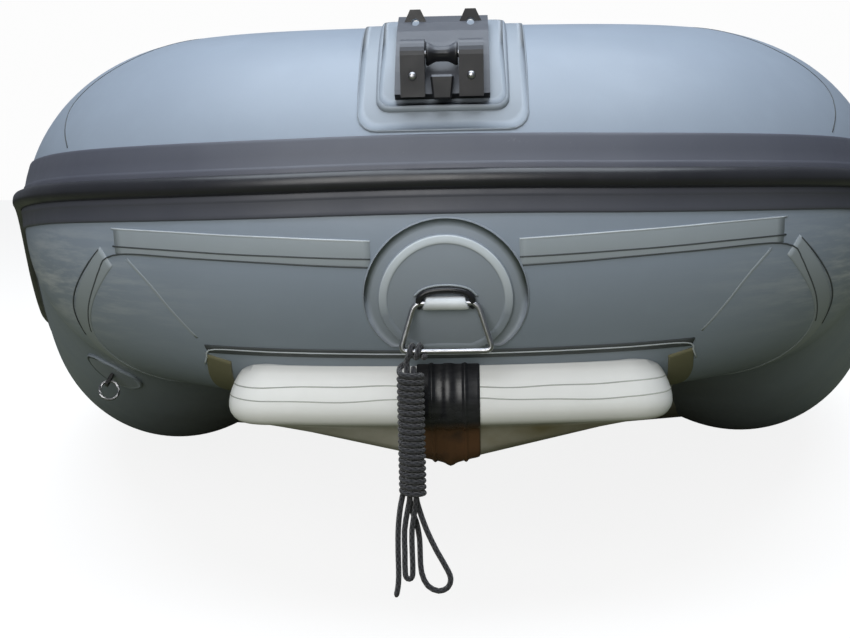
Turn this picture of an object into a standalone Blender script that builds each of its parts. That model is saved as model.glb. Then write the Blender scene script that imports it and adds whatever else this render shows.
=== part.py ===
"""An inflatable boat: air chambers, strake, air floor, transom, bow fitting, towing ring and painter.

The bow points to -Y, port is +X and up is +Z. Every part of the hull is placed by its distance along
the tube's centre line from the bow, and by an angle round the tube that is 0 outboard and 90 on top.
"""
import math

import bmesh
import bpy
import numpy as np
from mathutils import Matrix, Vector

MM = 0.001

# Hull
HULL_LENGTH = 3300 * MM
HULL_BEAM = 1620 * MM
TUBE_RADIUS = 215 * MM
BOW_RISE = 265 * MM
BOW_RUN = 1300 * MM
CONE_LENGTH = 340 * MM
CONE_END_RADIUS = 95 * MM
CONE_CAP_LENGTH = 45 * MM
CONE_CAP_PROUD = 4 * MM
CONE_CAP_SHARES = [(0.0, 1.0), (0.45, 0.96), (0.8, 0.75), (1.0, 0.35)]
CONE_TAPER_POWER = 1.25
TUBE_SIDES = 24
FRONT_STATIONS = 2
CORNER_STATIONS = 8
AFT_STATIONS = 10
STATION_SPREAD_POWER = 1.5
CONE_STATIONS = 4
BAFFLE_FROM_CORNER = 75 * MM
BAFFLE_THICKNESS = 2 * MM
SEAM_STUB = 12 * MM
AFT_OF_BAFFLE = 70 * MM

# Half of the centre line in plan: a gentle front arc, a tight corner, a straight flare that takes its
# share of the way out to the side tube, then a long arc
FRONT_ARC_RADIUS = 900 * MM
FRONT_ARC_TURN = 9.0
CORNER_RADIUS = 250 * MM
CORNER_TURN = 66.0
FLARE_SPREAD_SHARE = 0.5145
LINE_STEP = 4 * MM
FALL_STEPS = 12

# The centre line's fall from the bow: shares of the bow run, and shares of the bow rise
BOW_FALL_SHARES = [
    (0.0, 0.0),
    (0.090, 0.010),
    (0.185, 0.090),
    (0.346, 0.440),
    (0.500, 0.700),
    (0.720, 0.910),
    (1.0, 1.0),
]

# Gaps that touching pieces keep
TOUCH = 0.3 * MM
SKIN_GAP = 0.7 * MM
PATCH_GAP = 1.1 * MM

# Strake
STRAKE_ANGLE_BOW = 11.9
STRAKE_ANGLE_SIDE = 0.9
STRAKE_ABOVE = 12.9
STRAKE_BELOW = 9.3
STRAKE_THICKNESS = 3 * MM
STRAKE_ROWS = 4
STRAKE_FAIRING = 950 * MM
BEAD_WIDTH = 20 * MM
BEAD_THICKNESS = 11 * MM
BEAD_ROUNDING = 4.5 * MM

# Air floor
FLOOR_FRONT_DEPTH = 160 * MM
FLOOR_FRONT_WIDTH = 455 * MM
FLOOR_TOP = 125 * MM
FLOOR_CHINE = 36 * MM
FLOOR_KEEL = 9 * MM
FLOOR_NOSE_LENGTH = 60 * MM
FLOOR_CORNER = 45 * MM
FLOOR_ROUNDING = 12 * MM
FLOOR_CROWN = 6 * MM
FLOOR_NOSE_FLAT = 72 * MM
FLOOR_STATIONS = 14
FLOOR_SPREAD_POWER = 1.4
FLOOR_CORNER_TURNS = (35, 65, 90)
FLOOR_CHINE_RISE_SHARE = 0.82
FLOOR_V_BOW = 26 * MM
APRON_ANGLE = -40.0
APRON_WIDTH = 9 * MM
APRON_THICKNESS = 1.5 * MM
APRON_HALF_LENGTH = 250 * MM
KEEL_GUARD_WIDTH = 68 * MM
KEEL_GUARD_THICKNESS = 6 * MM

# Transom and what it carries
TRANSOM_BACK = 390 * MM
TRANSOM_THICKNESS = 30 * MM
TRANSOM_TOP = 480 * MM
TRANSOM_BOTTOM = 60 * MM
TRANSOM_WIDTH = 900 * MM
TRANSOM_EDGE = 4 * MM
HOLDER_LENGTH = 60 * MM
HOLDER_HEIGHT = 150 * MM
HOLDER_WIDTH = 70 * MM
HOLDER_LIFT = 150 * MM
MOTOR_PLATE_WIDTH = 300 * MM
MOTOR_PLATE_HEIGHT = 160 * MM
MOTOR_PLATE_THICKNESS = 6 * MM
MOTOR_PLATE_DROP = 12 * MM
MOTOR_PLATE_EDGE = 1.5 * MM
DRAIN_SIDE_SHARE = 0.6308
DRAIN_HEIGHT = 175 * MM
DRAIN_HOLE_RADIUS = 16 * MM
DRAIN_BORE_RADIUS = 11 * MM
DRAIN_FLANGE_RADIUS = 26 * MM
DRAIN_FLANGE_THICKNESS = 4 * MM
DRAIN_PLUG_HEAD = 16 * MM
DRAIN_PLUG_HEAD_LENGTH = 9 * MM
DRAIN_PLUG_DEPTH_SHARE = 0.8

# Benches on their rails
RAIL_ANGLE = 149.0
RAIL_WIDTH = 38 * MM
RAIL_THICKNESS = 6 * MM
RAIL_FROM_STERN = 600 * MM
RAIL_LENGTH = 900 * MM
BENCH_WIDTH = 200 * MM
BENCH_THICKNESS = 18 * MM
BENCH_RUNNING_GAP = 0.9 * MM
BENCH_HEIGHT = 320 * MM
FRONT_BENCH_FROM_STERN = 1300 * MM
REAR_BENCH_FROM_STERN = 800 * MM
BENCH_EDGE = 4 * MM

# Oarlocks
OARLOCK_FROM_STERN = 1050 * MM
OARLOCK_ANGLE = 78.0
OARLOCK_BASE_RADIUS = 45 * MM
OARLOCK_BASE_HEIGHT = 22 * MM
OARLOCK_PIN_RADIUS = 7 * MM
OARLOCK_PIN_LENGTH = 12 * MM
OARLOCK_RING_RADIUS = 30 * MM
OARLOCK_WIRE_RADIUS = 6 * MM
OARLOCK_SHOULDER_RADIUS = 11.2 * MM
OARLOCK_SHOULDER_HEIGHT = 11.2 * MM
OARLOCK_SHOULDER_EDGE = 7.8 * MM
OARLOCK_RING_LIFT = 6.7 * MM
OARLOCK_RING_POINTS = 16

# Air valves
VALVE_RADIUS = 30 * MM
VALVE_HEIGHT = 8 * MM
VALVE_CAP_RADIUS = 22 * MM
VALVE_CAP_HEIGHT = 9 * MM
VALVE_CAP_ROUNDING = 3 * MM
VALVE_WALL = 8 * MM
VALVE_WELL = 4 * MM
BOW_VALVE_AT = 330 * MM
BOW_VALVE_ANGLE = 140.0
SIDE_VALVE_FROM_STERN = 560 * MM
SIDE_VALVE_ANGLE = 118.0
FLOOR_VALVE_FROM_STERN = 500 * MM
FLOOR_VALVE_SIDE = 200 * MM

# Grab lines
GRAB_ANGLE = 48.0
GRAB_ROPE_RADIUS = 5 * MM
GRAB_HOLE_RADIUS = 5.7 * MM
GRAB_EYE_LENGTH = 22 * MM
GRAB_EYE_WIDTH = 46 * MM
GRAB_EYE_HEIGHT = 26 * MM
GRAB_HOLE_LIFT = 13 * MM
GRAB_EYES_FROM_STERN = [1500 * MM, 1150 * MM, 800 * MM]
GRAB_END = 30 * MM
GRAB_EYE_ROUNDING = 4.4 * MM
GRAB_LINE_STEPS = 16

# Bow fitting
FITTING_PATCH_HALF_WIDTH = 89 * MM
FITTING_PATCH_LOW = 25.6
FITTING_PATCH_HIGH = 88.0
FITTING_PATCH_THICKNESS = 1.2 * MM
FITTING_PATCH_CORNER = 20 * MM
FITTING_PAD_HALF_WIDTH = 69 * MM
FITTING_PAD_LOW = 31.5
FITTING_PAD_HIGH = 82.0
FITTING_PAD_THICKNESS = 4 * MM
FITTING_PAD_CORNER = 14 * MM
CHEEK_SPACING = 60 * MM
CHEEK_THICKNESS = 25 * MM
CHEEK_FRONT = 197 * MM
CHEEK_BACK = 86 * MM
CHEEK_TOP = 187 * MM
CHEEK_LOW = 128 * MM
CHEEK_CROWN = 17 * MM
FRAME_FOOT_THICKNESS = 9 * MM
FRAME_FOOT_LOW = 34.5
FRAME_FOOT_HIGH = 72.0
FRAME_FOOT_MARGIN = 6.5 * MM
REAR_PLATE_FRONT = 92 * MM
REAR_PLATE_THICKNESS = 12 * MM
REAR_PLATE_HALF_WIDTH = 43 * MM
REAR_PLATE_TOP = 206 * MM
LUG_HEIGHT = 20 * MM
LUG_HALF_BASE = 17 * MM
LUG_HALF_TOP = 5.7 * MM
LUG_FOOT = 4 * MM
LUG_HOLE_RADIUS = 4.5 * MM
LUG_HOLE_LIFT = 6 * MM
ROLLER_RADIUS = 12 * MM
ROLLER_WAIST = 8 * MM
ROLLER_BORE_RADIUS = 4.4 * MM
ROLLER_END_GAP = 1.0 * MM
ROLLER_FRONT = 178 * MM
ROLLER_HEIGHT = 172 * MM
AXLE_RADIUS = 4 * MM
AXLE_IN_CHEEK = 15 * MM
SCREW_HEIGHT = 149 * MM
SCREW_HEAD_RADIUS = 4.5 * MM
SCREW_HEAD_HEIGHT = 2.6 * MM
SCREW_DOME_SHARES = [(0.0, 1.0), (0.6, 0.8), (1.0, 0.25)]
TONGUE_TOP = 150 * MM
TONGUE_BOTTOM = 125 * MM
TONGUE_TOP_WIDTH = 24 * MM
TONGUE_BOTTOM_WIDTH = 19 * MM
TONGUE_FRONT = 200 * MM
TONGUE_THICKNESS = 8 * MM
TONGUE_INSET = 54 * MM
TONGUE_ROUNDING = 2 * MM

# Towing ring on its patch
RING_PATCH_ANGLE = -21.4
RING_PATCH_RADIUS = 87 * MM
RING_PATCH_TRIM_ANGLE = -38.3
RING_PATCH_THICKNESS = 1.2 * MM
RING_DISC_RADIUS = 71 * MM
RING_DISC_THICKNESS = 3.5 * MM
RING_WIRE_RADIUS = 3 * MM
RING_TOP_WIDTH = 65 * MM
RING_BOTTOM_WIDTH = 96 * MM
RING_HEIGHT = 50 * MM
RING_CORNER = 6 * MM
RING_CORNER_STEPS = 4
STRAP_WIDTH = 47 * MM
STRAP_THICKNESS = 2.6 * MM
STRAP_FOOT = 22 * MM

# Side towing eye under the starboard bow corner
TOW_FROM_BOW = 560 * MM
TOW_ANGLE = -58.0
TOW_PATCH_RADIUS = 42 * MM
TOW_PATCH_THICKNESS = 3 * MM
TOW_LUG_THICKNESS = 4 * MM
TOW_LUG_WIDTH = 18 * MM
TOW_LUG_HEIGHT = 16 * MM
TOW_RING_WIRE = 2 * MM
TOW_RING_RADIUS = 13 * MM
TOW_HOLE_RADIUS = 5.0 * MM
TOW_REST_SHARE = 0.12

# Painter
CORD_DIAMETER = 6 * MM
STRAND_SPACING = 6.7 * MM
WINDING_PITCH = 6.55 * MM
WINDING_TURNS = 20
WINDING_RADIUS = 11.7 * MM
POINTS_PER_TURN = 16
WINDING_START_ANGLE = 225
WINDING_SHORT_STEPS = 3
HANK_HEAD = 7 * MM
CORD_SIDES_RESOLUTION = 1
HANK_ACROSS = -38 * MM
HANK_DROP = 23 * MM
HITCH_TURNS = 2
HITCH_PITCH = 8.3 * MM
HITCH_GAP = 0.5 * MM
HITCH_START_ANGLE = 200
HITCH_ACROSS = -38.5 * MM

# Worked out from the sizes above
BEAD_REACH = TUBE_RADIUS + 2 * SKIN_GAP + STRAKE_THICKNESS + BEAD_THICKNESS
HALF_SPACING = HULL_BEAM / 2 - BEAD_REACH
BEAD_FLAT_HALF = (BEAD_WIDTH / 2 - BEAD_ROUNDING) / TUBE_RADIUS
FRONT_REACH = BEAD_REACH * math.cos(math.radians(STRAKE_ANGLE_BOW) - BEAD_FLAT_HALF)
BOW_Y = FRONT_REACH - HULL_LENGTH / 2
STERN_Y = HULL_LENGTH / 2
SIDE_AXIS_Z = TUBE_RADIUS
BOW_AXIS_Z = SIDE_AXIS_Z + BOW_RISE
CONE_TIP_Y = STERN_Y - CONE_CAP_LENGTH
CONE_START_Y = CONE_TIP_Y - CONE_LENGTH
STRAKE_OUT = SKIN_GAP + STRAKE_THICKNESS
PAD_OUT = PATCH_GAP + FITTING_PATCH_THICKNESS + SKIN_GAP
FRAME_OUT = PAD_OUT + FITTING_PAD_THICKNESS
DISC_OUT = PATCH_GAP + RING_PATCH_THICKNESS + SKIN_GAP
STRAP_OUT = DISC_OUT + RING_DISC_THICKNESS
TRANSOM_Y = STERN_Y - TRANSOM_BACK
DRAIN_SIDE = (HALF_SPACING - TUBE_RADIUS) * DRAIN_SIDE_SHARE
UP = Vector((0, 0, 1))


def new_collection(name):
    collection = bpy.data.collections.new(name)
    bpy.context.scene.collection.children.link(collection)
    return collection


for old in list(bpy.data.objects):
    bpy.data.objects.remove(old, do_unlink=True)
BOAT = new_collection("inflatable_boat")
CUTTERS = new_collection("cutters")


MATERIALS = {
    "tube_fabric": ((0.19, 0.215, 0.225), 0.45, 0.0),
    "strake_rubber": ((0.045, 0.047, 0.055), 0.5, 0.0),
    "bead_rubber": ((0.022, 0.022, 0.026), 0.38, 0.0),
    "floor_fabric": ((0.62, 0.63, 0.63), 0.55, 0.0),
    "black_rubber": ((0.012, 0.012, 0.013), 0.42, 0.0),
    "black_plastic": ((0.016, 0.016, 0.018), 0.38, 0.0),
    "stainless": ((0.62, 0.62, 0.60), 0.22, 1.0),
    "cord": ((0.010, 0.010, 0.011), 0.8, 0.0),
    "patch_fabric": ((0.16, 0.18, 0.19), 0.45, 0.0),
    "plywood": ((0.30, 0.31, 0.32), 0.5, 0.0),
}


def material(name):
    found = bpy.data.materials.get(name)
    if found:
        return found
    color, roughness, metallic = MATERIALS[name]
    made = bpy.data.materials.new(name)
    made.use_nodes = True
    shader = made.node_tree.nodes["Principled BSDF"]
    shader.inputs["Base Color"].default_value = (*color, 1)
    shader.inputs["Roughness"].default_value = roughness
    shader.inputs["Metallic"].default_value = metallic
    return made


def add_object(name, data, look=None, collection=None):
    """Link a new object; a piece gets its material, a cutter is kept out of the build."""
    made = bpy.data.objects.new(name, data)
    (collection or BOAT).objects.link(made)
    if look:
        data.materials.append(material(look))
    if collection is CUTTERS:
        made.hide_render = True
        made.display_type = "WIRE"
    return made


def mesh_from(name, builder, look=None, collection=None, smooth_angle=35):
    """Make a mesh object from a bmesh that the builder function fills."""
    cage = bmesh.new()
    builder(cage)
    bmesh.ops.recalc_face_normals(cage, faces=cage.faces)
    mesh = bpy.data.meshes.new(name)
    cage.to_mesh(mesh)
    cage.free()
    mesh.shade_smooth()
    mesh.set_sharp_from_angle(angle=math.radians(smooth_angle))
    return add_object(name, mesh, look, collection)


def tube(name, points, radius, look=None, resolution=2, radii=None, closed=False):
    """A round tube through points, as a curve with a bevel and filled caps."""
    curve = bpy.data.curves.new(name, "CURVE")
    curve.dimensions = "3D"
    curve.twist_mode = "Z_UP"
    curve.bevel_depth = radius
    curve.bevel_resolution = resolution
    curve.use_fill_caps = True
    spline = curve.splines.new("POLY")
    spline.points.add(len(points) - 1)
    for index, place in enumerate(points):
        spline.points[index].co = (*place, 1)
        spline.points[index].radius = radii[index] if radii else 1
    spline.use_cyclic_u = closed
    return add_object(name, curve, look)


def to_mesh_object(piece, collection=None):
    """Turn a curve object into a mesh object whose caps are welded."""
    graph = bpy.context.evaluated_depsgraph_get()
    mesh = bpy.data.meshes.new_from_object(piece.evaluated_get(graph))
    cage = bmesh.new()
    cage.from_mesh(mesh)
    bmesh.ops.remove_doubles(cage, verts=cage.verts, dist=0.001 * MM)
    bmesh.ops.recalc_face_normals(cage, faces=cage.faces)
    cage.to_mesh(mesh)
    cage.free()
    name = piece.name
    world = piece.matrix_world.copy()
    bpy.data.objects.remove(piece, do_unlink=True)
    made = add_object(name, mesh, None, collection)
    made.matrix_world = world
    return made


def boolean(piece, other, operation="DIFFERENCE"):
    cut = piece.modifiers.new(operation.lower(), "BOOLEAN")
    cut.operation = operation
    cut.object = other
    cut.solver = "EXACT"


def bevel(piece, width, segments=2):
    rounding = piece.modifiers.new("rounding", "BEVEL")
    rounding.width = width
    rounding.segments = segments
    rounding.limit_method = "ANGLE"
    rounding.angle_limit = math.radians(40)


def box(name, low, high, look=None, collection=None):
    low, high = Vector(low), Vector(high)

    def build(cage):
        bmesh.ops.create_cube(cage, size=1)
        bmesh.ops.scale(cage, vec=high - low, verts=cage.verts)
        bmesh.ops.translate(cage, vec=(high + low) / 2, verts=cage.verts)

    return mesh_from(name, build, look, collection)


def cylinder(name, start, end, radius, look=None, collection=None, sides=24, end_radius=None):
    start, end = Vector(start), Vector(end)
    along = end - start

    def build(cage):
        bmesh.ops.create_cone(cage, cap_ends=True, segments=sides, radius1=radius,
                              radius2=radius if end_radius is None else end_radius, depth=along.length)
        turn = along.to_track_quat("Z", "Y").to_matrix().to_4x4()
        bmesh.ops.transform(cage, matrix=Matrix.Translation((start + end) / 2) @ turn, verts=cage.verts)

    return mesh_from(name, build, look, collection)


def turned(name, profile, place, axis, look=None, collection=None, sides=20):
    """A turned piece: profile points (radius, height) from the top of the outside round to the inside."""
    cage = bmesh.new()
    corners = [cage.verts.new((radius, 0, height)) for radius, height in profile]
    for first, second in zip(corners, corners[1:]):
        cage.edges.new((first, second))
    if profile[0][0] > 0:
        cage.edges.new((corners[-1], corners[0]))
    mesh = bpy.data.meshes.new(name)
    cage.to_mesh(mesh)
    cage.free()
    piece = add_object(name, mesh, look, collection)
    piece.location = place
    piece.rotation_euler = Vector(axis).to_track_quat("Z", "Y").to_euler()
    screw = piece.modifiers.new("turn", "SCREW")
    screw.steps = sides
    screw.render_steps = sides
    screw.use_merge_vertices = True
    screw.merge_threshold = 0.00001
    return piece


def outline_slab(name, outline, thickness, place, turn, look=None, collection=None):
    """A flat outline of (x, y) points, thickened to both sides of its plane, then turned and placed."""
    curve = bpy.data.curves.new(name, "CURVE")
    curve.dimensions = "2D"
    curve.fill_mode = "BOTH"
    curve.extrude = thickness / 2
    spline = curve.splines.new("POLY")
    spline.points.add(len(outline) - 1)
    for index, (across, along) in enumerate(outline):
        spline.points[index].co = (across, along, 0, 1)
    spline.use_cyclic_u = True
    piece = add_object(name, curve, None, collection)
    piece.matrix_world = Matrix.Translation(place) @ turn.to_4x4()
    bpy.context.view_layer.update()
    made = to_mesh_object(piece, collection)
    if look:
        made.data.materials.append(material(look))
    return made


def mix(start, end, start_time, end_time, time):
    share = (time - start_time) / (end_time - start_time)
    return start * (1 - share) + end * share


def smooth_curve(points, per_span):
    """Points along a smooth curve through the given ones, several to each span, without overshoot."""
    spots = [Vector(point) for point in points]
    padded = [2 * spots[0] - spots[1], *spots, 2 * spots[-1] - spots[-2]]
    times = [0.0]
    for first, second in zip(padded, padded[1:]):
        times.append(times[-1] + math.sqrt((second - first).length))
    result = []
    for index in range(1, len(padded) - 2):
        before, start, end, after = padded[index - 1:index + 3]
        at_before, at_start, at_end, at_after = times[index - 1:index + 3]
        for step in range(per_span):
            time = at_start + (at_end - at_start) * step / per_span
            middle = mix(start, end, at_start, at_end, time)
            early = mix(mix(before, start, at_before, at_start, time), middle, at_before, at_end, time)
            late = mix(middle, mix(end, after, at_end, at_after, time), at_start, at_after, time)
            result.append(mix(early, late, at_start, at_end, time))
    result.append(spots[-1])
    return result


def arc_points(start, heading, radius, turn):
    """Points along an arc in plan, from a start and a heading in degrees off the beam, and its end."""
    steps = max(2, round(radius * math.radians(turn) / LINE_STEP))
    centre_x = start[0] - radius * math.sin(math.radians(heading))
    centre_y = start[1] + radius * math.cos(math.radians(heading))
    return [(centre_x + radius * math.sin(math.radians(heading + turn * step / steps)),
             centre_y - radius * math.cos(math.radians(heading + turn * step / steps)))
            for step in range(1, steps + 1)]


def half_plan():
    """The centre line in plan from the bow to the port cone's tip, as (x, y)."""
    plan = [(0.0, BOW_Y)]
    plan += arc_points(plan[-1], 0, FRONT_ARC_RADIUS, FRONT_ARC_TURN)
    plan += arc_points(plan[-1], FRONT_ARC_TURN, CORNER_RADIUS, CORNER_TURN)
    heading = FRONT_ARC_TURN + CORNER_TURN
    x, y = plan[-1]
    flare_x = x + (HALF_SPACING - x) * FLARE_SPREAD_SHARE
    flare_y = y + (flare_x - x) * math.tan(math.radians(heading))
    plan.append((flare_x, flare_y))
    long_radius = (HALF_SPACING - flare_x) / (1 - math.sin(math.radians(heading)))
    plan += arc_points(plan[-1], heading, long_radius, 90 - heading)
    plan.append((HALF_SPACING, CONE_TIP_Y))
    return plan


def fall_line():
    """The bow's fall in fine steps: a cubic through the given shares, with slopes from their neighbours."""
    table = BOW_FALL_SHARES
    slopes = [0.0]
    slopes += [(after[1] - before[1]) / (after[0] - before[0]) for before, after in zip(table, table[2:])]
    slopes += [0.0]
    result = []
    for (start, low), (end, high), leaving, arriving in zip(table, table[1:], slopes, slopes[1:]):
        width = end - start
        for step in range(FALL_STEPS):
            share = step / FALL_STEPS
            rise = share * share * (3 - 2 * share)
            bend = leaving * share * (1 - share) ** 2 - arriving * share ** 2 * (1 - share)
            result.append((start + width * share, low + (high - low) * rise + width * bend))
    return [*result, table[-1]]


FALL_LINE = fall_line()


def fall_at(y):
    """How far the centre line has fallen at y, as a share of the bow rise."""
    alongs, falls = zip(*FALL_LINE)
    return float(np.interp((y - BOW_Y) / BOW_RUN, alongs, falls))


def spread(plan):
    """The same plan with points at the line's step all along it."""
    places = np.array(plan)
    along = np.concatenate([[0], np.cumsum(np.linalg.norm(np.diff(places, axis=0), axis=1))])
    even = np.linspace(0, along[-1], round(along[-1] / LINE_STEP))
    return list(zip(np.interp(even, along, places[:, 0]), np.interp(even, along, places[:, 1])))


class CentreLine:
    """The tube's centre line, measured from the bow: minus to starboard and plus to port."""

    def __init__(self):
        half = [(x, y, BOW_AXIS_Z - BOW_RISE * fall_at(y)) for x, y in spread(half_plan())]
        mirrored = [(-x, y, z) for x, y, z in reversed(half[1:])]
        self.points = [Vector(place) for place in mirrored + half]
        gaps = [(second - first).length for first, second in zip(self.points, self.points[1:])]
        self.distances = np.concatenate([[0], np.cumsum(gaps)])
        self.distances -= self.distances[-1] / 2
        self.half_length = float(self.distances[-1])
        self.columns = np.array([tuple(point) for point in self.points])

    def point(self, distance):
        columns = (self.columns[:, axis] for axis in range(3))
        return Vector([float(np.interp(distance, self.distances, column)) for column in columns])

    def frame(self, distance):
        """The point, the direction along the tube, the outboard direction and the upward one."""
        step = 6 * MM
        along = (self.point(distance + step) - self.point(distance - step)).normalized()
        if abs(distance) > self.half_length - step:
            along = Vector((0, math.copysign(1, distance), 0))
        out = along.cross(UP).normalized()
        return self.point(distance), along, out, out.cross(along).normalized()

    def surface(self, distance, angle, proud=0):
        """A point on the tube at an angle, or proud of it."""
        place, _, out, up = self.frame(distance)
        turn = math.radians(angle)
        return place + (TUBE_RADIUS + proud) * (math.cos(turn) * out + math.sin(turn) * up)

    def normal(self, distance, angle):
        _, _, out, up = self.frame(distance)
        turn = math.radians(angle)
        return math.cos(turn) * out + math.sin(turn) * up

    def at_y(self, y):
        """The distance along the port side where the centre line reaches y."""
        port = self.distances >= 0
        return float(np.interp(y, self.columns[port][:, 1], self.distances[port]))


LINE = CentreLine()
FRONT_END = FRONT_ARC_RADIUS * math.radians(FRONT_ARC_TURN)
CORNER_END = FRONT_END + CORNER_RADIUS * math.radians(CORNER_TURN)
BAFFLE_FROM_BOW = CORNER_END + BAFFLE_FROM_CORNER
CONE_START = LINE.at_y(CONE_START_Y)
CONE_TIP = LINE.half_length


def stations(start, end, count):
    return [start + (end - start) * index / count for index in range(count + 1)]


def bow_stations():
    """Distances of the bow chamber's sections on the port side, from the middle to its last bend."""
    return stations(0, FRONT_END, FRONT_STATIONS) + stations(FRONT_END, CORNER_END, CORNER_STATIONS)[1:]


def aft_stations():
    """Distances aft of the baffle on the port side, close together where the tube still bends."""
    start = BAFFLE_FROM_BOW + AFT_OF_BAFFLE
    return [start + (CONE_START - start) * (index / AFT_STATIONS) ** STATION_SPREAD_POWER
            for index in range(AFT_STATIONS + 1)]


def all_stations():
    """The chambers' own stations, from the starboard cone to the port one."""
    port = [*bow_stations(), BAFFLE_FROM_BOW, *aft_stations()]
    return sorted({-distance for distance in port} | set(port))


ALL_STATIONS = all_stations()


def shared_stations(start, end):
    """The chambers' own stations between two distances, with both ends, so that sheets follow the facets."""
    inside = [distance for distance in ALL_STATIONS if start + SEAM_STUB < distance < end - SEAM_STUB]
    return [start, *inside, end]


def skin_point(distance, angle, proud):
    """A point proud of a chamber's skin, which runs straight from one station to the next."""
    before = max(station for station in ALL_STATIONS if station <= max(distance, ALL_STATIONS[0]))
    after = min(station for station in ALL_STATIONS if station >= min(distance, ALL_STATIONS[-1]))
    if before == after:
        return LINE.surface(distance, angle, proud)
    share = (distance - before) / (after - before)
    return LINE.surface(before, angle, proud).lerp(LINE.surface(after, angle, proud), share)


def cone_radius_share(distance):
    """The tube's radius along its cone, as a share of the whole radius, with a rounded shoulder."""
    along = (distance - CONE_START) / (CONE_TIP - CONE_START)
    narrowed = 1 - CONE_END_RADIUS / TUBE_RADIUS
    return 1 - narrowed * along ** CONE_TAPER_POWER


def side_chamber_path(side):
    """Points and radii of a side chamber, from its baffle aft."""
    cone = stations(CONE_START, CONE_TIP, CONE_STATIONS)[1:]
    place, along, _, _ = LINE.frame(side * BAFFLE_FROM_BOW)
    aft = along * side
    points = [place + aft * (BAFFLE_THICKNESS / 2 + TOUCH), place + aft * SEAM_STUB]
    points += [LINE.point(side * distance) for distance in aft_stations() + cone]
    radii = [1.0] * (len(points) - len(cone)) + [cone_radius_share(distance) for distance in cone]
    return points, radii


def bow_chamber_path():
    """Points of the bow chamber, with a short straight run at each end that meets a baffle."""
    half = [LINE.point(distance) for distance in bow_stations()]
    place, along, _, _ = LINE.frame(BAFFLE_FROM_BOW)
    half += [place - along * SEAM_STUB, place - along * (BAFFLE_THICKNESS / 2 + TOUCH)]
    mirrored = [Vector((-point.x, point.y, point.z)) for point in reversed(half[1:])]
    return mirrored + half


def air_chambers():
    tube("bow_chamber", bow_chamber_path(), TUBE_RADIUS, "tube_fabric", TUBE_SIDES // 2 - 2)
    for name, side in (("port", 1), ("starboard", -1)):
        points, radii = side_chamber_path(side)
        tube(f"{name}_chamber", points, TUBE_RADIUS, "tube_fabric", TUBE_SIDES // 2 - 2, radii)
        place, along, _, _ = LINE.frame(side * BAFFLE_FROM_BOW)
        half = along * BAFFLE_THICKNESS / 2
        tube(f"{name}_baffle", [place - half, place + half], TUBE_RADIUS, "tube_fabric", TUBE_SIDES // 2 - 2)


def hull_cutter(name, clearance, sides=TUBE_SIDES):
    """The whole tube, grown by a clearance, to cut what is seated on it."""
    starboard, starboard_radii = side_chamber_path(-1)
    port, port_radii = side_chamber_path(1)
    bow = bow_chamber_path()
    points = [*reversed(starboard), *bow, *port]
    radii = [*reversed(starboard_radii), *([1.0] * len(bow)), *port_radii]
    ends = Vector((0, clearance + SKIN_GAP, 0))
    points[0] = points[0] + ends
    points[-1] = points[-1] + ends
    cutter = tube(name, points, TUBE_RADIUS + clearance, None, sides // 2 - 2, radii)
    return to_mesh_object(cutter, CUTTERS)


def cone_caps():
    """Black caps over the ends of the cones."""
    for name, side in (("port", 1), ("starboard", -1)):
        tip = LINE.point(side * CONE_TIP)
        radius = CONE_END_RADIUS + CONE_CAP_PROUD
        profile = [(radius * out, CONE_CAP_LENGTH * along) for out, along in CONE_CAP_SHARES]
        profile += [(radius, TOUCH), (0, TOUCH)]
        turned(f"{name}_cone_cap", profile, tip, (0, 1, 0), "black_rubber", sides=TUBE_SIDES)


def strake_angle(distance):
    """The strake's middle, high on the bow and level along the sides."""
    share = min(1.0, abs(distance) / STRAKE_FAIRING)
    eased = share * share * (3 - 2 * share)
    return STRAKE_ANGLE_BOW + (STRAKE_ANGLE_SIDE - STRAKE_ANGLE_BOW) * eased


def tube_sheet(name, distances, low, high, rows, proud, thickness, look):
    """A sheet laid on the tube between two angles, which may change along the tube."""
    def build(cage):
        grid = []
        for distance in distances:
            bottom, top = low(distance), high(distance)
            grid.append([cage.verts.new(skin_point(distance, bottom + (top - bottom) * row / rows, proud))
                         for row in range(rows + 1)])
        for first, second in zip(grid, grid[1:]):
            for row in range(rows):
                cage.faces.new((first[row], second[row], second[row + 1], first[row + 1]))

    piece = mesh_from(name, build, look)
    faces_out(piece, distances[len(distances) // 2], (low(0) + high(0)) / 2)
    thicken(piece, thickness)
    return piece


def faces_out(piece, distance, angle):
    """Turn an open sheet's faces to the outside of the tube."""
    outward = LINE.normal(distance, angle)
    mesh = piece.data
    middle = LINE.surface(distance, angle)
    nearest = min(mesh.polygons, key=lambda face: (face.center - middle).length)
    if nearest.normal.dot(outward) < 0:
        mesh.flip_normals()


def facet_depth(angle):
    """How far a chamber's flat facet lies inside the round tube at an angle."""
    facet = 360 / TUBE_SIDES
    off_middle = (angle % facet) - facet / 2
    return TUBE_RADIUS * (1 - math.cos(math.radians(facet / 2)) / math.cos(math.radians(off_middle)))


def thicken(piece, thickness):
    shell = piece.modifiers.new("thickness", "SOLIDIFY")
    shell.thickness = thickness
    shell.offset = 1
    shell.use_even_offset = True


def strakes():
    """The flat strake band, and the raised bead that runs along its middle."""
    distances = shared_stations(-CONE_START, CONE_START)
    tube_sheet("strake_band", distances,
               lambda distance: strake_angle(distance) - STRAKE_BELOW,
               lambda distance: strake_angle(distance) + STRAKE_ABOVE,
               STRAKE_ROWS, SKIN_GAP, STRAKE_THICKNESS, "strake_rubber")
    half = math.degrees(BEAD_WIDTH / 2 / TUBE_RADIUS)
    bead = tube_sheet("rubbing_strake", distances,
                      lambda distance: strake_angle(distance) - half,
                      lambda distance: strake_angle(distance) + half,
                      1, STRAKE_OUT + SKIN_GAP, BEAD_THICKNESS, "bead_rubber")
    bevel(bead, BEAD_ROUNDING, 1)


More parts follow.
